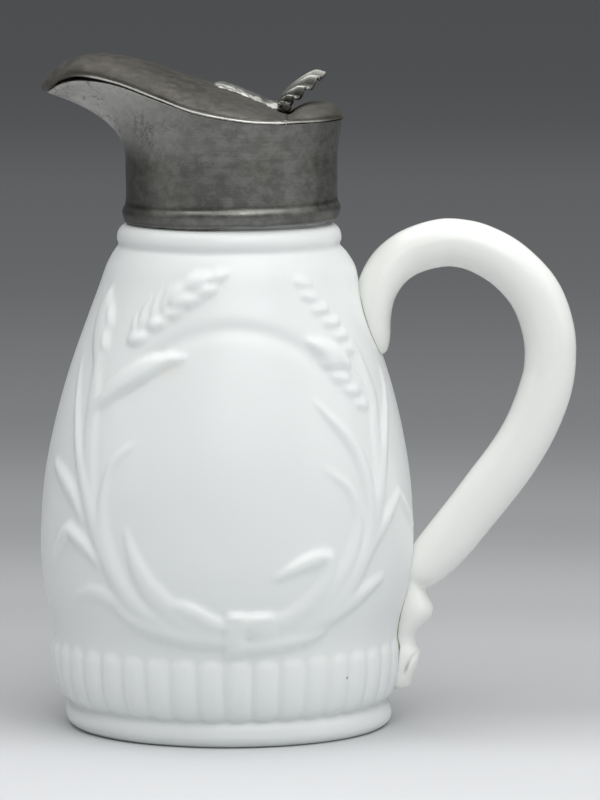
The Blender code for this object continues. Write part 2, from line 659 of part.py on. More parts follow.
def material(name, colour, roughness, metallic):
    """A Principled material."""
    made = bpy.data.materials.new(name)
    made.use_nodes = True
    shader = made.node_tree.nodes["Principled BSDF"]
    shader.inputs["Base Color"].default_value = (*colour, 1.0)
    shader.inputs["Roughness"].default_value = roughness
    shader.inputs["Metallic"].default_value = metallic
    return made


def main():
    """Clears the scene and builds the jug in its own collection."""
    for old in list(bpy.data.objects):
        bpy.data.objects.remove(old)
    glass = material("white_glass", (0.80, 0.83, 0.82), 0.18, 0.0)
    pewter = material("pewter", (0.30, 0.30, 0.28), 0.42, 1.0)
    parts = {
        glass_body(): glass, glass_handle(): glass, collar(): pewter, rear_cover(): pewter, hinge_pin(): pewter,
        lid(): pewter, thumb_lift(): pewter,
    }
    axis = bpy.data.objects.new("hinge_axis", None)
    axis.location = (HINGE[0], 0.0, HINGE[1])
    bpy.context.scene.collection.objects.link(axis)
    for name in ("lid", "thumb_lift"):
        bpy.data.objects[name].parent = axis
        bpy.data.objects[name].matrix_parent_inverse = Matrix.Translation(axis.location).inverted()
    jug = bpy.data.collections.new("molasses_jug")
    tools = bpy.data.collections.new("cutters")
    for folder in (jug, tools):
        bpy.context.scene.collection.children.link(folder)
    for made in list(bpy.context.scene.collection.objects):
        (tools if made.hide_render else jug).objects.link(made)
        bpy.context.scene.collection.objects.unlink(made)
    for made, finish in parts.items():
        made.data.materials.append(finish)
        made.data.shade_smooth()
        made.data.set_sharp_from_angle(angle=np.radians(35))


main()
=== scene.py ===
"""Looks of a white glass molasses jug with a pewter collar, spout and hinged lid.

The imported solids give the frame. This script makes the finely moulded glass with its
wheat wreath and flutes, the applied handle, the aged pewter collar, lid, rear cover and
ribbed thumb-piece, dresses them, and sets up a pale studio with one camera.

Lengths are in metres and angles in degrees. The spout points along -X, the handle
along +X, and the wreath faces -Y and, turned half round, +Y.
"""

from __future__ import annotations

import json
import logging
from dataclasses import dataclass
from enum import Enum
from typing import Iterable, Sequence

import bpy
import numpy as np
from mathutils import Euler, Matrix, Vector

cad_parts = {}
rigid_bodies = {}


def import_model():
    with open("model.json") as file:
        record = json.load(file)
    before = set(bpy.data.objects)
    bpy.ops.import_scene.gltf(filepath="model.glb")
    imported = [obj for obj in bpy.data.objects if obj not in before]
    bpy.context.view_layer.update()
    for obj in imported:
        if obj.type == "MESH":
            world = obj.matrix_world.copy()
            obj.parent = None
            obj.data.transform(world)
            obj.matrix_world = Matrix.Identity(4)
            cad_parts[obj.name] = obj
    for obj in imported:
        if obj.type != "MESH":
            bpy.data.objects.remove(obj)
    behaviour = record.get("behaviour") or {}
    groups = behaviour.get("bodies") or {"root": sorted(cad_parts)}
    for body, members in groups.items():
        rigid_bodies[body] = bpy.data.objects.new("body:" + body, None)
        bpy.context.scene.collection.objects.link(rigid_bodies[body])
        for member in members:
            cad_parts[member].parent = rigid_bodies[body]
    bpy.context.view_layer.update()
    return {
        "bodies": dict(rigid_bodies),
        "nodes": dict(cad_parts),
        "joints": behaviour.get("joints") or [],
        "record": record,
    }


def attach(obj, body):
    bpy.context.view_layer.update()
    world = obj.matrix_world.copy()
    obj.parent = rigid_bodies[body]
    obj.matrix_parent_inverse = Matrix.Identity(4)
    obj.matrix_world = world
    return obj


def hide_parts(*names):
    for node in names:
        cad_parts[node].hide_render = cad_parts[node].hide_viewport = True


log = logging.getLogger("molasses_jug")

Points = np.ndarray
Row = tuple[float, float]


class Body(Enum):
    """The rigid bodies of the jug."""

    JUG = "jug"
    LID = "lid"


class Slot(Enum):
    """The record's material slots."""

    BODY_GLASS = "body_glass"
    HANDLE_GLASS = "handle_glass"
    COLLAR = "collar_pewter"
    COVER = "cover_pewter"
    LID = "lid_pewter"
    THUMB = "thumb_pewter"


# Curves and grids


def smooth_path(points: Sequence[Sequence[float]], steps: int) -> Points:
    """Runs a smooth curve through points.

    Args:
        points: The points, each with any number of coordinates.
        steps: How many points each stretch gets.

    Returns:
        The curve's points, the last one included.
    """
    p = np.asarray(points, float)
    p = np.vstack([2 * p[0] - p[1], p, 2 * p[-1] - p[-2]])
    t = np.linspace(0.0, 1.0, steps, endpoint=False)[:, None]
    stretches = [
        b + 0.5 * ((c - a) * t + (2 * a - 5 * b + 4 * c - d) * t**2 + (3 * b - a - 3 * c + d) * t**3)
        for a, b, c, d in zip(p, p[1:], p[2:], p[3:])
    ]
    return np.vstack(stretches + [p[-2:-1]])


def height_on(line: Sequence[Row], x: float | Points) -> Points:
    """Gives the height of a smooth line at x.

    Args:
        line: (x, height) points in rising order of x.
        x: Where to read it.

    Returns:
        The height or heights.
    """
    curve = smooth_path(line, 12)
    return np.interp(x, curve[:, 0], curve[:, 1])


def ease(low: float, high: float, value: Points) -> Points:
    """Gives 0 below low, 1 above high, and a smooth rise between them."""
    t = np.clip((value - low) / (high - low), 0.0, 1.0)
    return t * t * (3 - 2 * t)


def hill(value: Points, middle: float, width: float) -> Points:
    """Gives 1 at the middle, falling smoothly to nothing within about twice the width."""
    return np.exp(-(((value - middle) / width) ** 2))


def ripple(points: Points, size: float, seed: int) -> Points:
    """Gives a gentle unevenness in space, the same on every run.

    Args:
        points: Places, as rows of x, y, z.
        size: Rough width of a swell.
        seed: Which pattern.

    Returns:
        One value a point, mostly between -1 and 1.
    """
    rng = np.random.default_rng(seed)
    total = np.zeros(len(points))
    for _ in range(7):
        wave = rng.normal(size=3)
        wave *= 2 * np.pi / size / np.linalg.norm(wave) * rng.uniform(0.6, 1.5)
        total += np.sin(points @ wave + rng.uniform(0, 2 * np.pi))
    return total / 3.2


def mesh_object(
    name: str, points: Points, faces: Iterable[Sequence[int]], sharp: float = 40.0
) -> bpy.types.Object:
    """Makes a smooth-shaded mesh object.

    Args:
        name: The piece's name.
        points: Vertex places.
        faces: Vertex numbers of each face.
        sharp: Edges steeper than this angle stay sharp.

    Returns:
        The new object, linked to the scene.
    """
    mesh = bpy.data.meshes.new(name)
    mesh.from_pydata(np.asarray(points).reshape(-1, 3).tolist(), [], [list(face) for face in faces])
    mesh.validate()
    mesh.update()
    mesh.shade_smooth()
    mesh.set_sharp_from_angle(angle=np.radians(sharp))
    made = bpy.data.objects.new(name, mesh)
    bpy.context.scene.collection.objects.link(made)
    return made


def grid_faces(rows: int, columns: int, closed: bool) -> list[tuple[int, int, int, int]]:
    """Lists the faces between rows of points.

    Args:
        rows: How many rows.
        columns: Points in a row.
        closed: Whether each row runs round to its start.

    Returns:
        Four vertex numbers a face.
    """
    wide = columns if closed else columns - 1
    faces = []
    for i in range(rows - 1):
        low, high = i * columns, (i + 1) * columns
        for j in range(wide):
            after = (j + 1) % columns
            faces.append((low + j, low + after, high + after, high + j))
    return faces


def sheet_metal(
    name: str, grid: Points, faces: Iterable[Sequence[int]], thickness: float, sharp: float = 40.0
) -> bpy.types.Object:
    """Makes a sheet of metal from a grid of points on its outside.

    Args:
        name: The piece's name.
        grid: Rows of points.
        faces: Vertex numbers of each face.
        thickness: How thick the metal is, inwards.
        sharp: Edges steeper than this angle stay sharp.

    Returns:
        The sheet, with its thickness.
    """
    made = mesh_object(name, grid, faces, sharp)
    solid = made.modifiers.new("Metal", "SOLIDIFY")
    solid.thickness = thickness
    solid.offset = -1.0
    return made


def faces_outside(
    points: Points, faces: Iterable[Sequence[int]], half: float, low: float, high: float
) -> list[Sequence[int]]:
    """Leaves out the faces over an opening in a sheet.

    Args:
        points: The sheet's points.
        faces: Its faces.
        half: The opening's half-width along y.
        low: x where the opening begins.
        high: x where it ends.

    Returns:
        The faces that stay.
    """
    kept = []
    for face in faces:
        x, y, _ = points[list(face)].mean(axis=0)
        if abs(y) > half or x < low or x > high:
            kept.append(face)
    return kept


def add_values(piece: bpy.types.Object, name: str, values: Points) -> None:
    """Stores one number a vertex, for the piece's finish to read.

    Args:
        piece: The object.
        name: The attribute's name.
        values: One value a vertex.
    """
    layer = piece.data.attributes.new(name, "FLOAT", "POINT")
    layer.data.foreach_set("value", np.asarray(values, np.float32))


def mark_wear_sheen_and_shade(piece: bpy.types.Object, wear_and_sheen: Points | float, painted_shade: Points | float) -> None:
    """Stores where a pewter piece is brightened, as rubbed metal and painted highlights and reflections,
    and where painted shade darkens it.

    Args:
        piece: The object.
        wear_and_sheen: From 0 to 1 a vertex, or one for all: rubbed metal, painted highlights and
            reflections.
        painted_shade: The same, for painted shade.
    """
    count = len(piece.data.vertices)
    add_values(piece, "wear_and_sheen", np.broadcast_to(wear_and_sheen, count))
    add_values(piece, "painted_shade", np.broadcast_to(painted_shade, count))


def points_of(piece: bpy.types.Object) -> Points:
    """Reads a mesh object's vertices."""
    points = np.empty(len(piece.data.vertices) * 3)
    piece.data.vertices.foreach_get("co", points)
    return points.reshape(-1, 3)


# Finishes


class Shading:
    """A material's node tree, with short ways to add to it."""

    def __init__(self, name: str) -> None:
        """Starts a Principled material of the given name."""
        self.material = bpy.data.materials.new(name)
        self.material.use_nodes = True
        self.tree = self.material.node_tree
        self.shader = self.tree.nodes["Principled BSDF"]
        self.place = self.add("ShaderNodeTexCoord").outputs["Object"]

    def add(self, kind: str, **settings: object) -> bpy.types.Node:
        """Adds a node and sets its properties."""
        node = self.tree.nodes.new(kind)
        for key, value in settings.items():
            setattr(node, key, value)
        return node

    def link(self, source: bpy.types.NodeSocket, target: bpy.types.NodeSocket) -> None:
        """Joins two sockets."""
        self.tree.links.new(source, target)

    def stretched(self, scale: Sequence[float]) -> bpy.types.NodeSocket:
        """Gives the object's coordinates, scaled differently along each axis."""
        mapping = self.add("ShaderNodeMapping")
        mapping.inputs["Scale"].default_value = scale
        self.link(self.place, mapping.inputs["Vector"])
        return mapping.outputs["Vector"]

    def noise(
        self, scale: float, detail: float = 3.0, rough: float = 0.5, stretch: Sequence[float] | None = None
    ) -> bpy.types.NodeSocket:
        """Adds a noise pattern.

        Args:
            scale: Cycles a metre.
            detail: Octaves.
            rough: How strong the fine octaves are.
            stretch: Scale along each axis, where the pattern is drawn out.

        Returns:
            The pattern's value.
        """
        node = self.add("ShaderNodeTexNoise")
        node.inputs["Scale"].default_value = scale
        node.inputs["Detail"].default_value = detail
        node.inputs["Roughness"].default_value = rough
        self.link(self.stretched(stretch) if stretch else self.place, node.inputs["Vector"])
        return node.outputs["Fac"]

    def band(self, value: bpy.types.NodeSocket, low: float, high: float) -> bpy.types.NodeSocket:
        """Maps low to 0 and high to 1, smoothly, with nothing beyond."""
        node = self.add("ShaderNodeMapRange", interpolation_type="SMOOTHSTEP")
        node.inputs["From Min"].default_value = low
        node.inputs["From Max"].default_value = high
        self.link(value, node.inputs["Value"])
        return node.outputs["Result"]

    def ridge(self, value: bpy.types.NodeSocket, level: float, half: float) -> bpy.types.NodeSocket:
        """Gives 1 where a value crosses a level and 0 at half away from it, like a tide mark."""
        off = self.add("ShaderNodeMath", operation="SUBTRACT")
        off.inputs[1].default_value = level
        self.link(value, off.inputs[0])
        away = self.add("ShaderNodeMath", operation="ABSOLUTE")
        self.link(off.outputs["Value"], away.inputs[0])
        return self.band(away.outputs["Value"], half, 0.0)

    def spread(self, value: bpy.types.NodeSocket, low: float, high: float) -> bpy.types.NodeSocket:
        """Maps 0 and 1 to the two given values."""
        node = self.add("ShaderNodeMapRange")
        node.inputs["To Min"].default_value = low
        node.inputs["To Max"].default_value = high
        self.link(value, node.inputs["Value"])
        return node.outputs["Result"]

    def times(self, a: bpy.types.NodeSocket, b: bpy.types.NodeSocket | float) -> bpy.types.NodeSocket:
        """Multiplies two values."""
        node = self.add("ShaderNodeMath", operation="MULTIPLY")
        self.link(a, node.inputs[0])
        if isinstance(b, (int, float)):
            node.inputs[1].default_value = b
        else:
            self.link(b, node.inputs[1])
        return node.outputs["Value"]

    def colour(self, rgb: Sequence[float]) -> bpy.types.NodeSocket:
        """Gives a plain colour to mix from."""
        node = self.add("ShaderNodeRGB")
        node.outputs["Color"].default_value = (*rgb, 1.0)
        return node.outputs["Color"]

    def mixed(
        self, share: bpy.types.NodeSocket, below: bpy.types.NodeSocket, rgb: Sequence[float]
    ) -> bpy.types.NodeSocket:
        """Lays a colour over another.

        Args:
            share: How much of the new colour shows.
            below: The colour so far.
            rgb: The colour laid over it.

        Returns:
            The mixed colour.
        """
        node = self.add("ShaderNodeMix", data_type="RGBA")
        self.link(share, node.inputs["Factor"])
        self.link(below, node.inputs["A"])
        node.inputs["B"].default_value = (*rgb, 1.0)
        return node.outputs["Result"]

    def attribute(self, name: str) -> bpy.types.NodeSocket:
        """Reads a number that the piece's vertices carry."""
        return self.add("ShaderNodeAttribute", attribute_name=name).outputs["Fac"]

    def near(self, spot: Sequence[float], radius: float) -> bpy.types.NodeSocket:
        """Gives 1 at a spot in the object's space and 0 beyond a radius."""
        away = self.add("ShaderNodeVectorMath", operation="DISTANCE")
        self.link(self.place, away.inputs[0])
        away.inputs[1].default_value = spot
        return self.band(away.outputs["Value"], radius, radius * 0.3)

    def bumps(self, layers: Sequence[tuple[bpy.types.NodeSocket, float]]) -> None:
        """Roughens the surface with stacked bump patterns, each with its depth in metres."""
        normal = None
        for value, depth in layers:
            bump = self.add("ShaderNodeBump")
            bump.inputs["Distance"].default_value = depth
            bump.inputs["Strength"].default_value = 1.0
            self.link(value, bump.inputs["Height"])
            if normal is not None:
                self.link(normal, bump.inputs["Normal"])
            normal = bump.outputs["Normal"]
        self.link(normal, self.shader.inputs["Normal"])


@dataclass(frozen=True)
class MilkGlass:
    """Opaque white glass with a soft fire-polished gloss.

    Attributes:
        name: The material's name.
        colour: The glass itself.
        shade: The faint cloudier streaks in it.
        roughness: Gloss of the skin.
        specks: Places of small dark inclusions.
        stains: Places and radii of faint yellowed marks.
        folded: Whether the piece carries a fold, darkened brown along it.
    """

    name: str
    colour: tuple[float, float, float] = (0.80, 0.825, 0.815)
    shade: tuple[float, float, float] = (0.79, 0.815, 0.803)
    roughness: float = 0.30
    specks: tuple[tuple[float, float, float], ...] = ()
    stains: tuple[tuple[float, float, float, float], ...] = ()
    folded: bool = False

    def material(self) -> bpy.types.Material:
        """Builds the material."""
        work = Shading(self.name)
        shader = work.shader
        cloud = work.band(work.noise(18.0, 2.0, 0.4), 0.3, 0.8)
        colour = work.mixed(cloud, work.colour(self.colour), self.shade)
        if self.folded:
            # Darkened brown along the fold.
            fold_darkening = work.times(work.attribute("seam"), work.spread(work.noise(900.0, 3.0), 0.45, 1.0))
            colour = work.mixed(fold_darkening, colour, (0.10, 0.08, 0.045))
        for x, y, z, radius in self.stains:
            mark = work.times(work.near((x, y, z), radius), work.band(work.noise(260.0), 0.35, 0.8))
            colour = work.mixed(work.times(mark, 0.20), colour, (0.70, 0.64, 0.50))
        for spot in self.specks:
            colour = work.mixed(work.near(spot, 0.00055), colour, (0.20, 0.19, 0.18))
        work.link(colour, shader.inputs["Base Color"])
        smear = work.band(work.noise(45.0, 3.0, 0.5), 0.3, 0.8)
        work.link(work.spread(smear, self.roughness, self.roughness + 0.08), shader.inputs["Roughness"])
        shader.inputs["IOR"].default_value = 1.45
        shader.inputs["Subsurface Weight"].default_value = 0.30
        shader.inputs["Subsurface Radius"].default_value = (1.0, 1.0, 1.0)
        shader.inputs["Subsurface Scale"].default_value = 0.004
        work.bumps(((work.noise(240.0, 2.0), 0.00003), (work.noise(1500.0, 2.0), 0.000006)))
        return work.material


@dataclass(frozen=True)
class AgedPewter:
    """Old pewter, grey and stained, brighter where rubbed and where highlights and reflections are painted,
    darker where shade is painted.

    Attributes:
        name: The material's name.
        colour: The clean metal.
        dull: The tarnish over most of it.
        stain: The darkest marks.
        patina: Olive-brown bloom.
        patina_share: How far the bloom has spread.
        worn: Bright colour for rubbed metal and for painted highlights and reflections.
        roughness: Roughness of the cleaner metal.
        brushing: Depth of the fine turning marks.
        metal: 1 for bare metal, less under a dull skin.
    """

    name: str
    colour: tuple[float, float, float] = (0.245, 0.245, 0.23)
    dull: tuple[float, float, float] = (0.178, 0.178, 0.166)
    stain: tuple[float, float, float] = (0.085, 0.082, 0.073)
    patina: tuple[float, float, float] = (0.22, 0.195, 0.14)
    patina_share: float = 0.25
    worn: tuple[float, float, float] = (0.62, 0.61, 0.58)
    roughness: float = 0.36
    brushing: float = 0.00002
    metal: float = 1.0

    def material(self) -> bpy.types.Material:
        """Builds the material."""
        work = Shading(self.name)
        shader = work.shader
        tarnish = work.band(work.noise(300.0, 8.0, 0.70, (1.0, 1.0, 1.4)), 0.40, 0.60)
        colour = work.mixed(tarnish, work.colour(self.colour), self.dull)
        bloom = work.band(work.noise(70.0, 6.0, 0.7), 0.62 - 0.35 * self.patina_share, 0.86)
        colour = work.mixed(work.times(bloom, 0.7), colour, self.patina)
        turned = work.band(work.noise(1.0, 3.0, 0.6, (60.0, 60.0, 3800.0)), 0.50, 0.75)
        colour = work.mixed(work.times(turned, 0.30), colour, self.stain)
        marks = work.band(work.noise(620.0, 5.0, 0.7, (1.0, 1.0, 1.3)), 0.60, 0.72)
        colour = work.mixed(work.times(marks, 0.60), colour, self.stain)
        # Painted highlights and reflections, with some rubbed metal, laid in the worn colour by the wear
        # attribute.
        wear_and_sheen = work.times(work.attribute("wear_and_sheen"), work.spread(work.noise(700.0, 3.0), 0.55, 1.0))
        colour = work.mixed(work.times(wear_and_sheen, 0.9), colour, self.worn)
        shore = work.ridge(work.noise(150.0, 4.0, 0.55), 0.5, 0.020)
        shore = work.times(shore, work.band(work.noise(80.0, 2.0), 0.47, 0.55))
        shore = work.times(shore, work.spread(work.attribute("wear_and_sheen"), 0.20, 1.0))
        colour = work.mixed(work.times(shore, 0.60), colour, self.stain)
        pits = work.band(work.noise(1500.0, 4.0, 0.65), 0.58, 0.70)
        colour = work.mixed(work.times(pits, 0.45), colour, self.stain)
        # Painted shade: the grime attribute darkens creases, grooves, recesses and shaded sides.
        painted_shade = work.attribute("painted_shade")
        colour = work.mixed(work.times(painted_shade, 0.8), colour, (0.05, 0.047, 0.042))
        work.link(colour, shader.inputs["Base Color"])
        worn = work.band(work.noise(420.0, 5.0, 0.6), 0.3, 0.7)
        work.link(work.spread(worn, self.roughness, self.roughness + 0.12), shader.inputs["Roughness"])
        shader.inputs["Metallic"].default_value = self.metal
        lines = work.noise(1.0, 3.0, 0.6, (110.0, 110.0, 5200.0))
        work.bumps(
            (
                (work.noise(95.0, 2.0), 0.00008),
                (lines, self.brushing),
                (work.noise(1900.0, 3.0), 0.00002),
            )
        )
        return work.material


@dataclass(frozen=True)
class PlainFinish:
    """A dull mineral finish with a fine grain.

    Attributes:
        name: The material's name.
        colour: Its colour.
        shade: A second, darker tone in it.
        roughness: Its roughness.
        grain: Cycles a metre of the grain.
    """

    name: str
    colour: tuple[float, float, float]
    shade: tuple[float, float, float]
    roughness: float = 0.9
    grain: float = 700.0

    def material(self) -> bpy.types.Material:
        """Builds the material."""
        work = Shading(self.name)
        mottle = work.band(work.noise(self.grain, 4.0, 0.6), 0.35, 0.65)
        work.link(work.mixed(mottle, work.colour(self.colour), self.shade), work.shader.inputs["Base Color"])
        work.shader.inputs["Roughness"].default_value = self.roughness
        work.bumps(((work.noise(self.grain, 4.0), 0.00008),))
        return work.material


# The moulded glass

INSIDE_ROWS = 18
LIP_ROWS = 4


@dataclass(frozen=True)
class Outline:
    """The turned outline of the glass, as heights with outside radii.

    Attributes:
        neck_top: Height of the glass neck's rim.
        neck_tube: Outside radius of the neck under the collar.
        ring: The short ring under the collar.
        belly: From the ring down to the flutes' feet.
        waist: The groove above the foot.
        foot: The foot ring.
        base: Radius of the flat base.
        wall: Thickness of the glass.
        floor: Thickness of the floor.
        floor_corner: Radius inside at the floor.
        bore: Inside radius of the neck.
        bore_start: Height where the inside begins to narrow to the bore.
        bore_end: Height where it has its full bore.
        lean: How far the glass leans towards the spout.
        lean_fade: Height over which the lean begins.
    """

    neck_top: float = 0.1412
    neck_tube: float = 0.0236
    ring: tuple[Row, ...] = (
        (0.1230, 0.0250), (0.1226, 0.0259), (0.1217, 0.0268), (0.1206, 0.02725), (0.1193, 0.0274),
        (0.1186, 0.0271), (0.1180, 0.02695), (0.1176, 0.0271),
    )
    belly: tuple[Row, ...] = (
        (0.1170, 0.0276), (0.1154, 0.0286), (0.1125, 0.0300), (0.1076, 0.0317), (0.0978, 0.0353),
        (0.0879, 0.0386), (0.0781, 0.0414), (0.0682, 0.0436), (0.0584, 0.0450), (0.0465, 0.0457),
        (0.0386, 0.0453), (0.0326, 0.0443), (0.0266, 0.0428), (0.0222, 0.0422), (0.0150, 0.0418),
        (0.0105, 0.0409), (0.0080, 0.0399),
    )
    waist: Row = (0.0067, 0.0385)
    foot: tuple[Row, ...] = (
        (0.0058, 0.0391), (0.0045, 0.0398), (0.0026, 0.0400), (0.0011, 0.0395), (0.0002, 0.0383),
    )
    base: float = 0.0374
    wall: float = 0.0038
    floor: float = 0.0062
    floor_corner: float = 0.0120
    bore: float = 0.0201
    bore_start: float = 0.1080
    bore_end: float = 0.1220
    lean: float = -0.0011
    lean_fade: float = 0.0080

    def outside(self) -> Points:
        """Gives the moulded outside from the neck ring to the base, as (height, radius) rows."""
        ring = smooth_path(self.ring + self.belly[:2], 4)[:-5]
        belly = smooth_path(self.belly, 12)
        foot = smooth_path((self.belly[-1], self.waist) + self.foot + ((0.0, self.base),), 4)[1:]
        return np.vstack([ring, belly, foot])

    def radius(self, height: float | Points) -> Points:
        """Gives the outside radius at a height, without relief."""
        outline = self.outside()
        return np.interp(height, outline[::-1, 0], outline[::-1, 1])

    def inside_radius(self, heights: Points) -> Points:
        """Gives the inside radius at heights above the floor."""
        radii = self.radius(np.maximum(heights, Flutes().top)) - self.wall
        radii = radii + (self.bore - radii) * ease(self.bore_start, self.bore_end, heights)
        corner = np.clip((self.floor + self.floor_corner - heights) / self.floor_corner, 0, 1)
        return radii - self.floor_corner * (1 - np.sqrt(1 - corner**2))

    def lean_at(self, height: Points) -> Points:
        """Gives the sideways lean at heights, none at the base and at the neck."""
        q = np.clip(height / self.ring[-1][0], 0, 1)
        return self.lean * (1 - q) * (1 - np.exp(-height / self.lean_fade))

    def rows(self, belly_step: float) -> Points:
        """Lists the whole section from the floor's middle inside, over the rim, to the base's middle.

        Args:
            belly_step: Height between rows where the relief is.

        Returns:
            (height, radius) rows.
        """
        shoulder = self.neck_top - 0.0008
        heights = self.floor + (shoulder - self.floor) * np.linspace(0, 1, INSIDE_ROWS) ** 1.25
        inner = np.column_stack([heights, self.inside_radius(heights)])
        lip = [
            (self.neck_top, self.bore + 0.0010),
            (self.neck_top, self.neck_tube - 0.0010),
            (shoulder, self.neck_tube),
            (self.ring[0][0] + 0.0002, self.neck_tube),
        ]
        outline = self.outside()
        run = np.concatenate([[0], np.cumsum(np.linalg.norm(np.diff(outline, axis=0), axis=1))])
        fine = np.where((outline[:, 0] < 0.117) & (outline[:, 0] > 0.010), belly_step, belly_step * 0.95)
        count = np.concatenate([[0], np.cumsum(np.diff(run) / fine[1:])])
        marks = np.interp(np.linspace(0, count[-1], int(count[-1]) + 1), count, run)
        outer = np.column_stack([np.interp(marks, run, outline[:, 0]), np.interp(marks, run, outline[:, 1])])
        return np.vstack([inner, lip, outer])


@dataclass(frozen=True)
class Blade:
    """A raised leaf or stem on the glass.

    Attributes:
        path: (azimuth, height in millimetres) points from the root up.
        width: Its widest, in millimetres.
        rise: How far it stands out, in millimetres.
        root: Share of the width at its root.
        tip: Share of the width at its tip.
        belly: Where along it the width is greatest.
        flat: 2 for a round back, more for a flatter one with steeper edges.
        point: 0.5 for a round end, 1 for a pointed one.
    """

    path: tuple[Row, ...]
    width: float
    rise: float = 0.9
    root: float = 0.6
    tip: float = 0.0
    belly: float = 0.45
    flat: float = 2.4
    point: float = 0.7

    def height(self, flat_points: Points, outline: Outline) -> Points:
        """Gives its rise at points of the glass.

        Args:
            flat_points: Arc length and height of each point.
            outline: The glass under it.

        Returns:
            The rise in metres.
        """
        line = on_surface(self.path, outline)
        away, place = along(flat_points, line)
        fall = np.clip((place - self.belly) / (1 - self.belly), 0, 1)
        swell = np.where(
            place < self.belly,
            self.root + (1 - self.root) * np.sin(np.pi / 2 * place / self.belly),
            self.tip + (1 - self.tip) * (1 - fall**2) ** self.point,
        )
        half = np.maximum(self.width / 2000 * swell, 1e-5)
        across = np.clip(away / half, 0, 1)
        return self.rise / 1000 * np.sqrt(np.clip(1 - across**self.flat, 0, 1)) * (0.45 + 0.55 * swell)


@dataclass(frozen=True)
class Kernel:
    """One grain of wheat on the glass.

    Attributes:
        place: Its middle as (azimuth, height in millimetres).
        heading: Which way its tip points, counted from level towards +azimuth, in degrees.
        length: In millimetres.
        width: In millimetres.
        rise: In millimetres.
    """

    place: Row
    heading: float
    length: float = 6.0
    width: float = 2.6
    rise: float = 0.9

    def height(self, flat_points: Points, outline: Outline) -> Points:
        """Gives its rise at points of the glass, in metres."""
        height = self.place[1] / 1000
        x = np.radians(self.place[0]) * outline.radius(height)
        turn = np.radians(self.heading)
        u, v = flat_points[:, 0] - x, flat_points[:, 1] - height
        p = (u * np.cos(turn) + v * np.sin(turn)) / (self.length / 2000)
        q = (v * np.cos(turn) - u * np.sin(turn)) / (self.width / 2000)
        q = q / np.clip(1 - 0.35 * p, 0.45, 1.4)
        return self.rise / 1000 * np.sqrt(np.clip(1 - p * p - q * q, 0, 1))


@dataclass(frozen=True)
class Tie:
    """The band that ties the stems, with an end hanging below it.

    Attributes:
        blocks: Each block's azimuth and height, then its half-width, half-height and rise in millimetres.
        crease: Azimuth of the fold down its front.
        crease_depth: Depth of the fold, in millimetres.
    """

    blocks: tuple[tuple[float, float, float, float, float], ...] = (
        (8.2, 30.4, 6.2, 3.1, 1.95), (3.4, 28.0, 2.9, 5.2, 1.95), (11.8, 28.9, 4.0, 2.6, 1.6),
        (3.2, 24.8, 2.7, 2.2, 1.5), (3.5, 32.7, 2.5, 0.9, 2.1), (11.4, 32.4, 3.7, 0.8, 2.0),
    )
    crease: float = 7.0
    crease_depth: float = 0.12

    def height(self, flat_points: Points, outline: Outline) -> Points:
        """Gives its rise at points of the glass, in metres."""
        total = np.zeros(len(flat_points))
        for azimuth, level, half_x, half_z, rise in self.blocks:
            x = np.radians(azimuth) * outline.radius(level / 1000)
            p = np.abs(flat_points[:, 0] - x) / (half_x / 1000)
            q = np.abs(flat_points[:, 1] - level / 1000) / (half_z / 1000)
            total = np.maximum(total, rise / 1000 * np.sqrt(np.clip(1 - p**3 - q**3, 0, 1)))
        fold = np.radians(self.crease) * outline.radius(self.blocks[0][1] / 1000)
        dent = self.crease_depth / 1000 * hill(flat_points[:, 0], fold, 0.00045)
        return np.clip(total - dent, 0, None)


@dataclass(frozen=True)
class Medallion:
    """The bare round field inside the wreath, edged by a groove.

    Attributes:
        middle: (azimuth, height in millimetres).
        half: Half-width along the glass and half-height, in millimetres.
        depth: How far the field lies under the glass round it, in millimetres.
        edge: Width of the step, in millimetres.
        groove: Depth of the groove, in millimetres.
        groove_half: Half-width of the groove, in millimetres.
    """

    middle: Row = (2.0, 69.0)
    half: Row = (33.0, 32.5)
    depth: float = 0.30
    edge: float = 3.4
    groove: float = 0.62
    groove_half: float = 1.8

    def height(self, flat_points: Points, outline: Outline) -> Points:
        """Gives its fall at points of the glass, in metres, as a negative rise."""
        x = np.radians(self.middle[0]) * outline.radius(self.middle[1] / 1000)
        across = (flat_points[:, 0] - x) / (self.half[0] / 1000)
        up = (flat_points[:, 1] - self.middle[1] / 1000) / (self.half[1] / 1000)
        away = np.hypot(across, up)
        step = self.depth * ease(0.0, self.edge / self.half[0], 1 - away) * ease(-0.9, 0.9, up)
        ring = self.groove * np.exp(-(((away - 0.965) * self.half[0] / self.groove_half) ** 2))
        return -(step + ring * ease(0.30, 0.75, up)) / 1000


@dataclass(frozen=True)
class Flutes:
    """The band of upright round-topped ribs above the foot.

    Attributes:
        count: How many.
        rise: How far each stands out.
        bottom: Height of their feet.
        top: Height of their tops.
        dome: Length of the rounding at the top.
    """

    count: int = 40
    rise: float = 0.0011
    bottom: float = 0.0064
    top: float = 0.0218
    dome: float = 0.0028

    def height(self, azimuth: Points, height: Points) -> Points:
        """Gives their rise at points of the glass, in metres."""
        across = np.mod(azimuth / 360 * self.count, 1.0) * 2 - 1
        top = np.clip((height - self.top + self.dome) / self.dome, 0, None)
        bottom = np.clip((self.bottom + self.dome / 2 - height) / (self.dome / 2), 0, None)
        return self.rise * np.sqrt(np.clip(1 - np.abs(across) ** 2.1 - top**2 - bottom**2, 0, 1))


def on_surface(path: Sequence[Row], outline: Outline) -> Points:
    """Turns (azimuth, height in millimetres) points into arc length and height on the glass.

    Args:
        path: The points.
        outline: The glass.

    Returns:
        A smooth run of points in metres.
    """
    curve = smooth_path(path, 8)
    heights = curve[:, 1] / 1000
    return np.column_stack([np.radians(curve[:, 0]) * outline.radius(heights), heights])


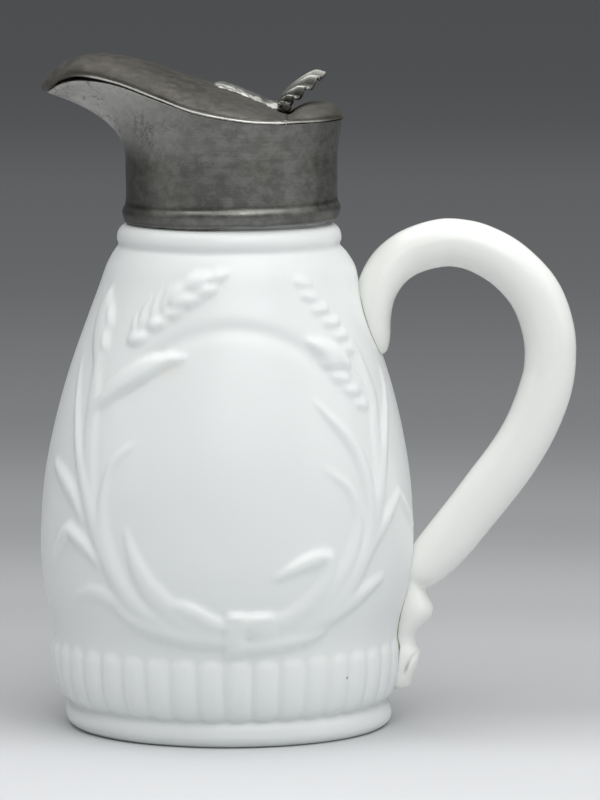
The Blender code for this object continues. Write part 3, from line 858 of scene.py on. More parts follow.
def along(points: Points, path: Points) -> tuple[Points, Points]:
    """Measures points against a path.

    Args:
        points: Places on the flattened glass.
        path: The path's points.

    Returns:
        Each point's distance from the path, and how far along it it is, from 0 to 1.
    """
    best = np.full(len(points), np.inf)
    place = np.zeros(len(points))
    lengths = np.linalg.norm(np.diff(path, axis=0), axis=1)
    run = np.concatenate([[0], np.cumsum(lengths)]) / lengths.sum()
    for i, (a, b) in enumerate(zip(path, path[1:])):
        t = np.clip((points - a) @ (b - a) / lengths[i] ** 2, 0, 1)
        away = np.linalg.norm(points - a - t[:, None] * (b - a), axis=1)
        nearer = away < best
        best[nearer] = away[nearer]
        place[nearer] = (run[i] + t * (run[i + 1] - run[i]))[nearer]
    return best, place


LEFT_STEMS = (
    Blade(((-4, 28.2), (-15, 28.6), (-23, 31.2), (-30, 36.0), (-36, 42.5), (-41, 49.5), (-46, 57.0),
           (-50, 63.0), (-54, 68.5), (-57.5, 73.5), (-61, 79.0), (-65.5, 85.5), (-70.5, 91.2)),
          4.6, 1.0, 0.9, 0.1, 0.3, 2.8, 0.8),
    Blade(((-43, 54.0), (-46.5, 62.0), (-49.5, 70.0), (-51.5, 78.0), (-53.5, 85.0), (-56.5, 91.5)),
          5.0, 0.55, 0.5, 0.5, 0.5, 3.0),
    Blade(((-10, 28.8), (-17, 30.2), (-24, 32.6), (-31, 37.4), (-36, 43.5), (-39, 49.5), (-40.6, 55.4),
           (-40.6, 61.3), (-39, 67.0), (-35.2, 70.9), (-29, 73.7)), 4.3, 1.0, 0.9, 0.0, 0.35, 2.6, 1.0),
)
LEFT_LEAVES = (
    Blade(((-54, 77.5), (-49, 82.0), (-43, 85.9), (-36, 89.1), (-29, 91.6), (-21, 93.4), (-13.5, 93.4)),
          5.0, 1.3, 0.0, 0.0, 0.55, 2.8, 1.2),
    Blade(((-49.5, 54.0), (-53, 58.2), (-58, 61.5), (-64, 64.0), (-72.6, 67.0)), 4.2, 1.0, 0.3),
    Blade(((-42, 44.4), (-46, 47.3), (-51.5, 49.8), (-56, 50.9), (-60.5, 48.4), (-64.5, 44.2), (-67.5, 39.5)),
          3.9, 1.25, 0.5, 0.0, 0.45),
    Blade(((-28, 31.8), (-36, 35.0), (-43, 36.9), (-50, 36.0), (-58, 32.4)), 3.8, 0.85, 0.5),
    Blade(((-3, 29.2), (-9, 30.2), (-15, 32.6), (-20, 36.2), (-25, 41.2), (-28.8, 47.0), (-32, 53.6)),
          5.8, 1.2, 0.9, 0.0, 0.35, 2.6, 1.0),
    Blade(((0, 30.0), (-4, 31.0), (-8, 32.8), (-14.3, 35.3)), 4.4, 1.5, 0.9, 0.6, 0.5, 2.6, 0.5),
)
RIGHT_STEMS = (
    Blade(((16, 27.6), (26, 29.4), (33.5, 33.0), (39.5, 37.4), (44, 42.0), (48, 47.5), (52, 54.0),
           (55.5, 60.5), (58.5, 66.0), (61.5, 71.0), (65, 76.0), (69, 80.5), (72.5, 84.5), (74.5, 89.0)),
          4.6, 1.0, 0.9, 0.1, 0.3, 2.8, 0.8),
    Blade(((50, 52.0), (54, 60.0), (56.5, 68.0), (58.2, 76.0), (60.5, 82.5), (59.4, 88.1), (57.5, 93.0),
           (55, 97.0)), 3.6, 0.5, 0.5, 0.5, 0.5, 3.0),
    Blade(((18, 29.0), (25, 32.0), (32, 36.2), (37, 40.8), (41, 46.0), (43.8, 51.5), (44.6, 55.5),
           (43.5, 59.3), (40.5, 62.8), (36, 65.6), (31, 67.9)), 3.9, 1.0, 0.9, 0.0, 0.35, 2.6, 1.0),
)
RIGHT_LEAVES = (
    Blade(((42, 42.0), (46, 47.0), (48.8, 52.5), (49.6, 59.0), (48.6, 65.5), (46, 71.3), (41.5, 75.8),
           (36, 79.9), (30.4, 84.0)), 3.8, 1.15, 0.5, 0.0, 0.4, 2.6, 1.0),
    Blade(((15, 30.2), (22, 32.6), (27.5, 36.4), (31.5, 40.6), (33.6, 45.0)),
          4.6, 1.2, 1.0, 0.6, 0.5, 2.6, 0.5),
    Blade(((33.0, 46.0), (29.5, 46.3), (24, 45.0), (19.5, 43.4), (14.2, 41.6)),
          3.9, 1.35, 0.8, 0.0, 0.25, 2.4, 1.0),
    Blade(((24, 27.4), (32, 30.2), (38.5, 33.0), (45, 35.6), (51, 38.2), (58.2, 40.4)),
          4.2, 1.05, 0.6, 0.0, 0.5),
    Blade(((42, 40.0), (46, 44.5), (51, 48.8), (56, 52.2), (61, 55.6), (67.7, 59.4)),
          3.6, 1.05, 0.6, 0.3, 0.6),
    Blade(((82, 49.5), (77.5, 52.2), (72.7, 55.5), (67.7, 59.4)), 3.2, 0.9, 0.4, 0.3, 0.6),
)
LOWER_BANDS = (
    Blade(((-34, 32.6), (-26, 29.6), (-19, 28.2), (-11, 27.0), (-3, 26.7), (3, 26.6)),
          3.6, 1.4, 0.5, 0.9, 0.7, 3.0),
    Blade(((6, 25.2), (13, 25.4), (21, 26.0), (28, 26.8), (34, 28.2)), 3.6, 1.5, 1.0, 0.2, 0.3, 3.0),
)
WHEAT = (
    # Ear at the far left, closed like a bud
    Blade(((-55.5, 89.5), (-57.0, 93.5), (-60.0, 98.5), (-62.5, 103.5), (-63.5, 109.0)),
          8.0, 1.15, 0.3, 0.0, 0.5, 2.2, 0.9),
    Kernel((-54.6, 96.6), 96, 6.5, 2.2, 1.35), Kernel((-56.4, 102.4), 98, 7.0, 2.2, 1.25),
    # Ear at the upper left, its lower grains lying along and its upper ones standing
    Kernel((-37.2, 97.7), 10, 6.6, 2.9, 1.15), Kernel((-29.4, 101.4), 9, 6.4, 2.8, 1.15),
    Kernel((-22.8, 103.9), 6, 6.0, 2.4, 1.1), Kernel((-18.6, 107.1), 6, 9.4, 3.9, 1.45),
    Kernel((-9.6, 109.4), 14, 6.6, 3.0, 1.2), Kernel((-13.5, 111.6), 24, 8.4, 3.8, 1.3),
    Kernel((-4.4, 112.8), 22, 6.4, 2.6, 0.9), Kernel((-22.0, 109.2), 36, 7.2, 3.0, 1.2),
    Kernel((-40.4, 100.6), 84, 4.6, 1.9, 0.6), Kernel((-37.0, 102.8), 74, 7.0, 2.2, 0.7),
    Kernel((-32.0, 104.6), 80, 7.6, 2.2, 0.75), Kernel((-27.2, 107.2), 66, 6.6, 2.4, 0.8),
    # Ear at the upper right
    Kernel((41.8, 104.4), 178, 6.6, 2.3, 0.95), Kernel((46.4, 101.2), 176, 6.8, 2.3, 1.0),
    Kernel((50.0, 97.9), 174, 6.6, 2.3, 1.0), Kernel((52.2, 94.6), 170, 5.6, 2.0, 0.85),
    Kernel((37.6, 107.6), 166, 6.6, 2.3, 0.9), Kernel((35.6, 110.8), 168, 6.4, 2.4, 0.75),
    # Ear at the right, below it, topped by a broad grain
    Blade(((49.5, 91.2), (45.0, 93.3), (39.5, 95.4), (31.8, 97.3)), 4.6, 1.35, 0.6, 0.0, 0.4, 2.6, 1.0),
    Kernel((42.0, 91.6), 168, 7.0, 2.3, 1.05), Kernel((45.2, 88.2), 170, 6.8, 2.3, 1.0),
    Kernel((49.0, 85.0), 168, 6.8, 2.4, 1.1), Kernel((52.6, 81.6), 166, 6.2, 2.2, 0.95),
)
BEARDS = (
    Blade(((-38, 101.0), (-36.5, 104.5), (-34.6, 108.2)), 1.3, 0.45, 0.8, 0.0, 0.4),
    Blade(((-33, 103.0), (-32, 106.5), (-30.4, 110.6)), 1.3, 0.45, 0.8, 0.0, 0.4),
    Blade(((48, 94.0), (51.5, 89.5), (55.5, 85.0), (58.5, 81.5)), 1.5, 0.55, 0.6, 0.0, 0.4),
)


class GlassBody:
    """The mould-blown jug itself."""

    def __init__(self, outline: Outline, columns: int = 480, belly_step: float = 0.00076) -> None:
        """Keeps the outline and the mesh's fineness.

        Args:
            outline: The turned section.
            columns: Points round each row.
            belly_step: Height between rows where the relief is.
        """
        self.outline = outline
        self.columns = columns
        self.belly_step = belly_step
        self.medallion = Medallion()
        self.flutes = Flutes()
        leaves = LEFT_STEMS + LEFT_LEAVES + RIGHT_STEMS + RIGHT_LEAVES + LOWER_BANDS
        self.raised = leaves + WHEAT + BEARDS + (Tie(),)

    def relief(self, azimuth: Points, height: Points) -> Points:
        """Gives the whole moulded design's rise.

        Args:
            azimuth: Degrees from the front, each point's.
            height: Each point's height.

        Returns:
            The rise in metres.
        """
        facing = np.where(np.abs(azimuth) > 90, azimuth - 180 * np.sign(azimuth), azimuth)
        flat = np.column_stack([np.radians(facing) * self.outline.radius(height), height])
        union = np.zeros(len(flat))
        for item in self.raised:
            union += np.clip(item.height(flat, self.outline), 0, None) ** 5
        rise = union**0.2
        sunk = self.medallion.height(flat, self.outline) * (1 - 0.8 * np.clip(rise / 0.0006, 0, 1))
        swelling = 0.0008 * np.exp(-(((np.abs(azimuth - 90)) / 20) ** 2) - ((height - 0.1125) / 0.0042) ** 2)
        return np.maximum(rise, self.flutes.height(azimuth, height)) + sunk + swelling

    def build(self, finish: bpy.types.Material) -> bpy.types.Object:
        """Makes the moulded body."""
        rows = self.outline.rows(self.belly_step)
        turn = np.linspace(-180, 180, self.columns, endpoint=False)
        azimuth, height = np.meshgrid(turn, rows[:, 0])
        radius = np.repeat(rows[:, 1:2], self.columns, axis=1)
        hidden = INSIDE_ROWS + LIP_ROWS
        outer = np.zeros(len(rows), bool)
        level = rows[hidden:, 0]
        outer[hidden:] = (level < self.outline.belly[0][0]) & (level > self.outline.waist[0])
        rise = np.zeros_like(radius)
        rise[outer] = self.relief(azimuth[outer].ravel(), height[outer].ravel()).reshape(-1, self.columns)
        rise = (np.roll(rise, 1, 1) + 2 * rise + np.roll(rise, -1, 1)) / 4
        rise[1:-1] = (rise[:-2] + 2 * rise[1:-1] + rise[2:]) / 4
        radius = radius + rise
        bearing = np.radians(azimuth)
        points = np.stack([radius * np.sin(bearing), -radius * np.cos(bearing), height], axis=2)
        wave = ripple(points.reshape(-1, 3), 0.024, 5).reshape(radius.shape) * 0.00006
        wave[:hidden] = 0
        points[..., :2] *= (1 + wave / np.maximum(radius, 0.01))[..., None]
        points[..., 0] += self.outline.lean_at(height)
        flat_points = points.reshape(-1, 3)
        first, last = len(flat_points), len(flat_points) + 1
        ends = np.array([(0, 0, self.outline.floor), (0, 0, 0.0)])
        faces = grid_faces(len(rows), self.columns, True)
        n = self.columns
        tail = (len(rows) - 1) * n
        faces = [face[::-1] for face in faces]
        faces += [(first, j, (j + 1) % n) for j in range(n)]
        faces += [(last, tail + (j + 1) % n, tail + j) for j in range(n)]
        body = mesh_object("glass_body_moulded", np.vstack([flat_points, ends]), faces, 60.0)
        body.data.materials.append(finish)
        return body


@dataclass(frozen=True)
class GlassHandle:
    """The applied glass handle: an arm drawn round in a loop, and its end pressed flat and crimped.

    Attributes:
        arm: x, height, radius in its own plane and half-width across.
        tail: The same for the crimped end.
        fold: (x, height) points of the fold on the tail.
        fold_depth: Depth of the fold.
        sides: Points round a section.
        steps: Sections to each stretch.
        voxel: Fineness of the melted skin.
    """

    arm: tuple[tuple[float, float, float, float], ...] = (
        (0.0350, 0.0898, 0.0016, 0.0034), (0.0347, 0.0912, 0.0036, 0.0062), (0.0346, 0.0950, 0.0046, 0.0082),
        (0.0347, 0.1000, 0.0047, 0.0090), (0.0355, 0.1050, 0.0048, 0.0088), (0.0372, 0.1093, 0.0051, 0.0080),
        (0.0401, 0.1131, 0.0054, 0.0069), (0.0446, 0.1161, 0.0057, 0.0061), (0.0510, 0.1180, 0.0059, 0.0060),
        (0.0560, 0.1180, 0.0059, 0.0060), (0.0615, 0.1165, 0.0060, 0.0061), (0.0683, 0.1125, 0.0062, 0.0062),
        (0.0745, 0.1056, 0.0064, 0.0064), (0.0779, 0.0965, 0.0064, 0.0064), (0.0783, 0.0882, 0.0063, 0.0063),
        (0.0768, 0.0811, 0.0064, 0.0064), (0.0734, 0.0725, 0.0064, 0.0064), (0.0689, 0.0649, 0.0064, 0.0064),
        (0.0635, 0.0577, 0.0064, 0.0064), (0.0584, 0.0512, 0.0063, 0.0063), (0.0535, 0.0451, 0.0062, 0.0063),
        (0.0487, 0.0397, 0.0057, 0.0060), (0.0450, 0.0370, 0.0048, 0.0056), (0.0415, 0.0356, 0.0038, 0.0046),
    )
    tail: tuple[tuple[float, float, float, float], ...] = (
        (0.0448, 0.0380, 0.0020, 0.0040), (0.0443, 0.0360, 0.0034, 0.0052), (0.0440, 0.0336, 0.0038, 0.0056),
        (0.0440, 0.0312, 0.0049, 0.0062), (0.0439, 0.0286, 0.0062, 0.0066), (0.0432, 0.0262, 0.0052, 0.0064),
        (0.0424, 0.0238, 0.0042, 0.0060), (0.0419, 0.0214, 0.0038, 0.0056), (0.0416, 0.0194, 0.0044, 0.0060),
        (0.0415, 0.0175, 0.0052, 0.0067), (0.0411, 0.0150, 0.0051, 0.0070), (0.0406, 0.0125, 0.0047, 0.0069),
        (0.0403, 0.0105, 0.0044, 0.0066), (0.0401, 0.0094, 0.0039, 0.0060), (0.0400, 0.0088, 0.0027, 0.0044),
    )
    fold: tuple[Row, ...] = ((0.0462, 0.0178), (0.0448, 0.0165), (0.0436, 0.0148), (0.0428, 0.0129))
    fold_depth: float = 0.0008
    sides: int = 72
    steps: int = 9
    voxel: float = 0.00042

    def sweep(self, line: Sequence[Sequence[float]]) -> tuple[Points, Points]:
        """Runs an oval section along a line.

        Args:
            line: x, height, radius in its own plane and half-width across.

        Returns:
            The rows of points, and each row's outward direction in the plane.
        """
        rows = smooth_path(line, self.steps)
        ahead = np.gradient(rows[:, :2], axis=0)
        ahead /= np.linalg.norm(ahead, axis=1)[:, None]
        out = np.column_stack([ahead[:, 1], -ahead[:, 0]])
        turn = np.linspace(0, 2 * np.pi, self.sides, endpoint=False)
        x = rows[:, 0:1] + out[:, 0:1] * rows[:, 2:3] * np.cos(turn)
        z = rows[:, 1:2] + out[:, 1:2] * rows[:, 2:3] * np.cos(turn)
        y = rows[:, 3:4] * np.sin(turn) * np.ones_like(x)
        return np.stack([x, y, z], axis=2), out

    def closed_faces(self, count: int, start: int) -> list[tuple[int, ...]]:
        """Lists the faces of a sweep with both ends closed, its first vertex being number start."""
        n = self.sides
        faces = [tuple(start + v for v in face) for face in grid_faces(count, n, True)]
        first, last = start + count * n, start + count * n + 1
        faces += [(first, start + (j + 1) % n, start + j) for j in range(n)]
        tail = start + (count - 1) * n
        faces += [(last, tail + j, tail + (j + 1) % n) for j in range(n)]
        return faces

    def seam(self, outline: Outline) -> list[Points]:
        """Finds where the handle's sides meet the body.

        Args:
            outline: The glass body.

        Returns:
            The upper and the lower run of points, on the near side.
        """
        runs = []
        for line in (self.arm, self.tail):
            grid, _ = self.sweep(line)
            run = []
            for row in grid:
                near = row[row[:, 1] < 0]
                height = near[:, 2]
                depth = np.hypot(near[:, 0] - outline.lean_at(height), near[:, 1]) - outline.radius(height)
                depth -= 0.0007 * (1 - ease(0.0195, 0.0225, height))
                crossing = np.nonzero(np.diff(np.sign(depth)))[0]
                if len(crossing):
                    i = crossing[0]
                    share = depth[i] / (depth[i] - depth[i + 1])
                    run.append(near[i] + share * (near[i + 1] - near[i]))
            runs.append(np.array(run))
        upper, lower = runs
        foot = np.vstack([upper[upper[:, 2] < 0.050], lower[lower[:, 2] < 0.0345]])
        return [upper[upper[:, 2] > 0.085], foot]

    def build(self, finish: bpy.types.Material) -> bpy.types.Object:
        """Makes the handle."""
        points: list[Points] = []
        faces: list[tuple[int, ...]] = []
        start = 0
        for line in (self.arm, self.tail):
            grid, out = self.sweep(line)
            swell = ripple(grid.reshape(-1, 3), 0.03, 11).reshape(grid.shape[:2]) * 0.00010
            turn = np.linspace(0, 2 * np.pi, self.sides, endpoint=False)
            grid[..., 0] += swell * out[:, 0:1] * np.cos(turn)
            grid[..., 2] += swell * out[:, 1:2] * np.cos(turn)
            ends = np.array([grid[0].mean(axis=0), grid[-1].mean(axis=0)])
            faces += self.closed_faces(len(grid), start)
            points += [grid.reshape(-1, 3), ends]
            start += len(grid) * self.sides + 2
        handle = mesh_object("glass_handle_applied", np.vstack(points), faces, 70.0)
        flip_if_inside_out(handle)
        self.blend(handle)
        at = points_of(handle)
        away, place = along(at[:, [0, 2]], smooth_path(self.fold, 8))
        on_tail = (np.abs(at[:, 1]) > 0.001) & (at[:, 2] < 0.025)
        dent = hill(away, 0.0, 0.00045) * np.sin(np.pi * np.clip(place, 0.02, 0.98)) ** 0.5 * on_tail
        at[:, 1] -= np.sign(at[:, 1]) * dent * self.fold_depth
        handle.data.vertices.foreach_set("co", at.ravel())
        handle.data.update()
        add_values(handle, "seam", np.clip(dent * ease(0.30, 0.9, place) * 1.2, 0, 1) * 0.75)
        handle.data.materials.append(finish)
        return handle

    def blend(self, handle: bpy.types.Object) -> None:
        """Melts the arm and the crimped end into one skin, as drawn glass is."""
        skin = handle.modifiers.new("Skin", "REMESH")
        skin.mode = "VOXEL"
        skin.voxel_size = self.voxel
        smooth = handle.modifiers.new("Melt", "SMOOTH")
        smooth.iterations = 8
        smooth.factor = 0.5
        bpy.context.view_layer.update()
        melted = bpy.data.meshes.new_from_object(handle.evaluated_get(bpy.context.evaluated_depsgraph_get()))
        handle.modifiers.clear()
        melted.name = handle.data.name
        melted.shade_smooth()
        handle.data = melted


@dataclass(frozen=True)
class HandleSeam:
    """Thin dark lines where the handle was pressed on to the body: old soiling along
    the lower seam, and a painted shadow line along the upper one.

    Attributes:
        thick: Its thickness along the lower seam.
        fine: Its thickness along the upper seam.
        patches: Heights where it is heaviest.
    """

    thick: float = 0.00011
    fine: float = 0.00009
    patches: tuple[float, ...] = (0.0236, 0.0190, 0.0262)

    def build(self, finish: bpy.types.Material, handle: GlassHandle, outline: Outline) -> bpy.types.Object:
        """Makes both lines on both sides.

        Args:
            finish: Their dark brown finish.
            handle: The handle.
            outline: The glass body.

        Returns:
            The piece.
        """
        upper, lower = handle.seam(outline)
        points: list[Points] = []
        faces: list[tuple[int, ...]] = []
        start = 0
        # The upper run is a painted shadow line; the lower run is old soiling.
        for run, size in ((upper, self.fine), (lower, self.thick)):
            run = smooth_path(run[::3], 6)
            heavy = sum(hill(run[:, 2], level, 0.0014) for level in self.patches)
            radius = size * (1 + 1.3 * np.clip(heavy, 0, 1)) * (1 + 0.35 * ripple(run, 0.006, 71))
            radius *= np.sin(np.pi * np.linspace(0.03, 0.97, len(run))) ** 0.4
            for side in (1, -1):
                for spoke in range(6):
                    a = spoke * np.pi / 3
                    out = np.column_stack([radius * np.cos(a), radius * np.sin(a), 0 * radius])
                    points.append((run + out) * (1, side, 1))
                count = len(run)
                for s in range(6):
                    low, high = start + s * count, start + (s + 1) % 6 * count
                    faces += [(low + i, low + i + 1, high + i + 1, high + i) for i in range(count - 1)]
                faces.append(tuple(start + s * count for s in range(6)))
                faces.append(tuple(start + s * count + count - 1 for s in range(5, -1, -1)))
                start += 6 * count
        made = mesh_object("handle_seam", np.vstack(points), faces, 80.0)
        made.data.materials.append(finish)
        return made


def flip_if_inside_out(piece: bpy.types.Object) -> None:
    """Turns a closed mesh's faces outwards if its volume comes out negative."""
    mesh = piece.data
    mesh.calc_loop_triangles()
    corners = np.empty(len(mesh.loop_triangles) * 3, np.int32)
    mesh.loop_triangles.foreach_get("vertices", corners)
    at = points_of(piece)[corners.reshape(-1, 3)]
    if np.einsum("ij,ij->i", at[:, 0], np.cross(at[:, 1], at[:, 2])).sum() < 0:
        mesh.flip_normals()


# The pewter


@dataclass(frozen=True)
class Rim:
    """The rim of the collar and spout, which the lid and the rear cover follow.

    Attributes:
        middle: x of the collar's axis.
        radius: Radius of the round part.
        tip: x of the spout's tip.
        nose: Radius of the spout's nose.
        line: Height of the lid's lower edge along x.
        drop: How far the collar's edge stays below that.
    """

    middle: float = 0.0005
    radius: float = 0.0270
    tip: float = -0.0443
    nose: float = 0.0040
    line: tuple[Row, ...] = (
        (-0.0443, 0.1555), (-0.0412, 0.1580), (-0.0356, 0.1592), (-0.0268, 0.1577), (-0.0161, 0.1541),
        (-0.0082, 0.1515), (0.0021, 0.1496), (0.0100, 0.1489), (0.0200, 0.1488), (0.0280, 0.1488),
    )
    drop: tuple[Row, ...] = (
        (-0.0443, 0.0008), (-0.0400, 0.0013), (-0.0350, 0.0014), (-0.0290, 0.0009), (-0.0230, 0.0006),
        (-0.0150, 0.0004), (-0.0080, 0.0003), (0.0280, 0.0003),
    )

    def half_width(self, x: float | Points, tip: float, radius: float) -> Points:
        """Gives the rim's half-width seen from above.

        Args:
            x: Where.
            tip: x of the foremost point.
            radius: Radius of the round part.

        Returns:
            Half the width there.
        """
        reach = self.middle - tip
        b = 2 * self.nose * reach + reach**2 - radius**2
        slope = (b - np.sqrt(b**2 - (2 * self.nose * radius) ** 2)) / (2 * self.nose**2)
        touch = (reach - slope * self.nose) / (slope + 1)
        s = np.clip(x - tip, 0, None)
        nose = np.sqrt(slope * (s**2 + 2 * self.nose * s))
        ring = np.sqrt(np.clip(radius**2 - (x - self.middle) ** 2, 0, None))
        return np.where(s < touch, nose, ring)

    def outline(self, count: int) -> Points:
        """Gives even steps round the rim from the spout's tip, as (x, y) points."""
        turn = np.linspace(0, np.pi, 1200)
        x = self.tip + (self.middle + self.radius - self.tip) * (1 - np.cos(turn)) / 2
        half = np.column_stack([x, -self.half_width(x, self.tip, self.radius)])
        half[-1, 1] = 0.0
        outline = np.vstack([half, half[-2:0:-1] * (1, -1), half[:1]])
        run = np.concatenate([[0], np.cumsum(np.linalg.norm(np.diff(outline, axis=0), axis=1))])
        steps = np.linspace(0, run[-1], count, endpoint=False)
        return np.column_stack([np.interp(steps, run, outline[:, 0]), np.interp(steps, run, outline[:, 1])])


@dataclass(frozen=True)
class Collar:
    """The pewter collar with its bead, waist, flare and spout.

    Attributes:
        rim: The rim it runs up to.
        metal: Thickness.
        tilt: Rise for each metre along x, because it sits slightly askew.
        band: (height, radius) rows from the lower edge up.
        flare: Height and radius where the flare begins.
        bend: Share of the flare's height at its bend, and the radius there.
        columns: Points round each row.
    """

    rim: Rim
    metal: float = 0.0011
    tilt: float = 0.021
    band: tuple[Row, ...] = (
        (0.1238, 0.0256), (0.1240, 0.0260), (0.1246, 0.02625), (0.1254, 0.0265), (0.1264, 0.02665),
        (0.1271, 0.02655), (0.1276, 0.0263), (0.1281, 0.0260), (0.1290, 0.02585), (0.1306, 0.0258),
        (0.1330, 0.0258),
    )
    flare: Row = (0.1400, 0.0259)
    bend: Row = (0.63, 0.0266)
    columns: int = 260

    def grid(self) -> Points:
        """Gives the outside as rows of points."""
        rim = self.rim.outline(self.columns)
        turn = np.arctan2(rim[:, 1], rim[:, 0] - self.rim.middle)
        ring = np.column_stack([np.cos(turn), np.sin(turn)])
        edge = height_on(self.rim.line, rim[:, 0]) - height_on(self.rim.drop, rim[:, 0])
        top = np.column_stack([rim, edge])

        def level(height: float, radius: float) -> Points:
            plan = ring * radius + (self.rim.middle, 0.0)
            return np.column_stack([plan, height + self.tilt * plan[:, 0]])

        rows = [level(height, radius) for height, radius in smooth_path(self.band, 5)]
        facing = np.degrees(np.arctan2(rim[:, 0], -rim[:, 1]))
        ragged = ripple(rows[0] * (1, 1, 0), 0.011, 23) * 0.00013
        ragged += 0.00030 * hill(facing, 8, 13) - 0.00030 * hill(facing, -20, 15)
        fade = np.linspace(1, 0, 12)
        for row, share in zip(rows, fade):
            row[:, 2] += ragged * share
        start = level(*self.flare)
        bend = level(self.flare[0], self.bend[1])
        bend[:, 2] += self.bend[0] * (top[:, 2] - start[:, 2])
        joint = rows[-1]
        for t in np.linspace(0.2, 0.8, 4):
            rows.append(joint + (start - joint) * t)
        for t in np.linspace(0, 1, 40):
            rows.append((1 - t) ** 2 * start + 2 * t * (1 - t) * bend + t**2 * top)
        return np.array(rows)

    def build(self, finish: bpy.types.Material) -> bpy.types.Object:
        """Makes the collar."""
        grid = self.grid()
        flat = grid.reshape(-1, 3)
        out = flat * (1, 1, 0) - (self.rim.middle, 0, 0)
        out /= np.linalg.norm(out, axis=1)[:, None]
        dents = ripple(flat, 0.022, 31) * 0.00010 + ripple(flat, 0.008, 37) * 0.00003
        flat = flat - out * np.abs(dents)[:, None]
        made = sheet_metal("collar_and_spout", flat, grid_faces(*grid.shape[:2], True), self.metal)
        share = np.repeat(np.linspace(0, 1, len(grid))[:, None], grid.shape[1], axis=1).ravel()
        self.age(made, flat, share)
        made.data.materials.append(finish)
        return made

    def age(self, made: bpy.types.Object, flat: Points, share: Points) -> None:
        """Paints highlights on the bead, rim and upper collar and the floor's reflection on the spout,
        and paints shade in the crease, over the bead and lower edge, and on the left side.

        Args:
            made: The collar.
            flat: Its points.
            share: How far up the collar each point is, from 0 to 1.
        """
        x = flat[:, 0]
        height = flat[:, 2] - self.tilt * x
        # Painted highlights: bead, lower lip, rim, upper collar; painted reflection of the floor on the
        # spout.
        bead = hill(height, 0.1274, 0.0003) + hill(height, 0.1239, 0.0003)
        towards_tip = 0.84 - 0.26 * ease(-0.033, -0.040, x)
        spout = ease(-0.002, -0.026, x) * ease(0.1375, 0.1450, height) * towards_tip
        rim = ease(0.985, 1.0, share) * 0.4
        wear_and_sheen = 0.04 * bead + rim + (spout + ease(0.80, 1.0, share) * 0.06)
        # Painted shade: the crease above the bead, the left side, the lower edge and the bead itself.
        crease = 0.7 * hill(height, 0.1284, 0.0006)
        bearing = np.degrees(np.arctan2(x - self.rim.middle, -flat[:, 1]))
        left = ease(12, 62, np.abs(bearing + 20)) * (bearing < -20) * (1 - ease(0.138, 0.148, height))
        foot = hill(height, 0.1244, 0.0004) * 0.35
        painted_shade = crease + 0.52 * left + foot + 0.25 * ease(0.1290, 0.1270, height)
        mark_wear_sheen_and_shade(made, np.clip(wear_and_sheen, 0, 1), np.clip(painted_shade, 0, 1))


@dataclass(frozen=True)
class Cover:
    """A piece of metal arched over the rim: its crown line and how it meets the rim.

    Attributes:
        crown: Height of its crown along x.
        arch: Shape of the arch, lower for squarer shoulders.
        brink: Height of the upright edge.
        lip: How far the rolled lip stands out from it.
    """

    crown: tuple[Row, ...]
    arch: float = 0.75
    brink: float = 0.0010
    lip: float = 0.00025

    def grid(self, rim: Rim, stations: Points, tip: float, radius: float, across: int) -> Points:
        """Gives the outside as rows of points.

        Args:
            rim: The rim it follows.
            stations: x of each row.
            tip: x of its foremost point.
            radius: Radius of its round part.
            across: Points in a row, not counting the brinks.

        Returns:
            The grid.
        """
        v = np.sin(np.linspace(np.pi / 2, -np.pi / 2, across))
        rows = []
        for x in stations:
            edge = float(height_on(rim.line, x))
            rise = max(float(height_on(self.crown, x)) - edge, 0.0004)
            half = float(rim.half_width(x, tip, radius))
            brink = min(self.brink, rise / 2)
            arch = [(x, half * w, edge + brink + (rise - brink) * (1 - w * w) ** self.arch) for w in v]
            flare = min(self.lip, half / 3)
            lip = ((0.5, 0.0), (1.0, 0.14), (0.9, 0.32), (0.1, 0.48))
            side = [(half + flare * out, edge + brink * up) for out, up in lip]
            rows.append([(x, y, z) for y, z in side] + arch + [(x, -y, z) for y, z in side[::-1]])
        return np.array(rows)


@dataclass(frozen=True)
class Hinge:
    """The hinge behind the middle of the rim.

    Attributes:
        x: Its axis.
        z: Its height.
        knuckle: Half-length of the lid's knuckle.
        knuckle_radius: Its radius.
        ears: Outside of the cover's two knuckles.
        ear_radius: Their radius.
        gap: Clearance between pieces.
    """

    x: float = 0.0139
    z: float = 0.1514
    knuckle: float = 0.0019
    knuckle_radius: float = 0.0013
    ears: float = 0.0050
    ear_radius: float = 0.0010
    gap: float = 0.0003

    def barrel(self, name: str, low: float, high: float, radius: float) -> bpy.types.Object:
        """Makes a knuckle along the axis, with softened ends.

        Args:
            name: The piece's name.
            low: y of one end.
            high: y of the other.
            radius: Its radius.

        Returns:
            The piece.
        """
        soft = min(0.00025, (high - low) / 4)
        round_off = soft * 0.3
        profile = (
            (low, radius - soft), (low + round_off, radius - round_off), (low + soft, radius),
            (high - soft, radius), (high - round_off, radius - round_off), (high, radius - soft),
        )
        turn = np.linspace(0, 2 * np.pi, 40, endpoint=False)
        points = [(self.x + r * np.cos(a), y, self.z + r * np.sin(a)) for y, r in profile for a in turn]
        points += [(self.x, low, self.z), (self.x, high, self.z)]
        n = len(turn)
        first = len(profile) * n
        last = first - n
        faces = grid_faces(len(profile), n, True)
        faces += [(first, (j + 1) % n, j) for j in range(n)]
        faces += [(first + 1, last + j, last + (j + 1) % n) for j in range(n)]
        made = mesh_object(name, np.array(points), faces, 50.0)
        flip_if_inside_out(made)
        return made


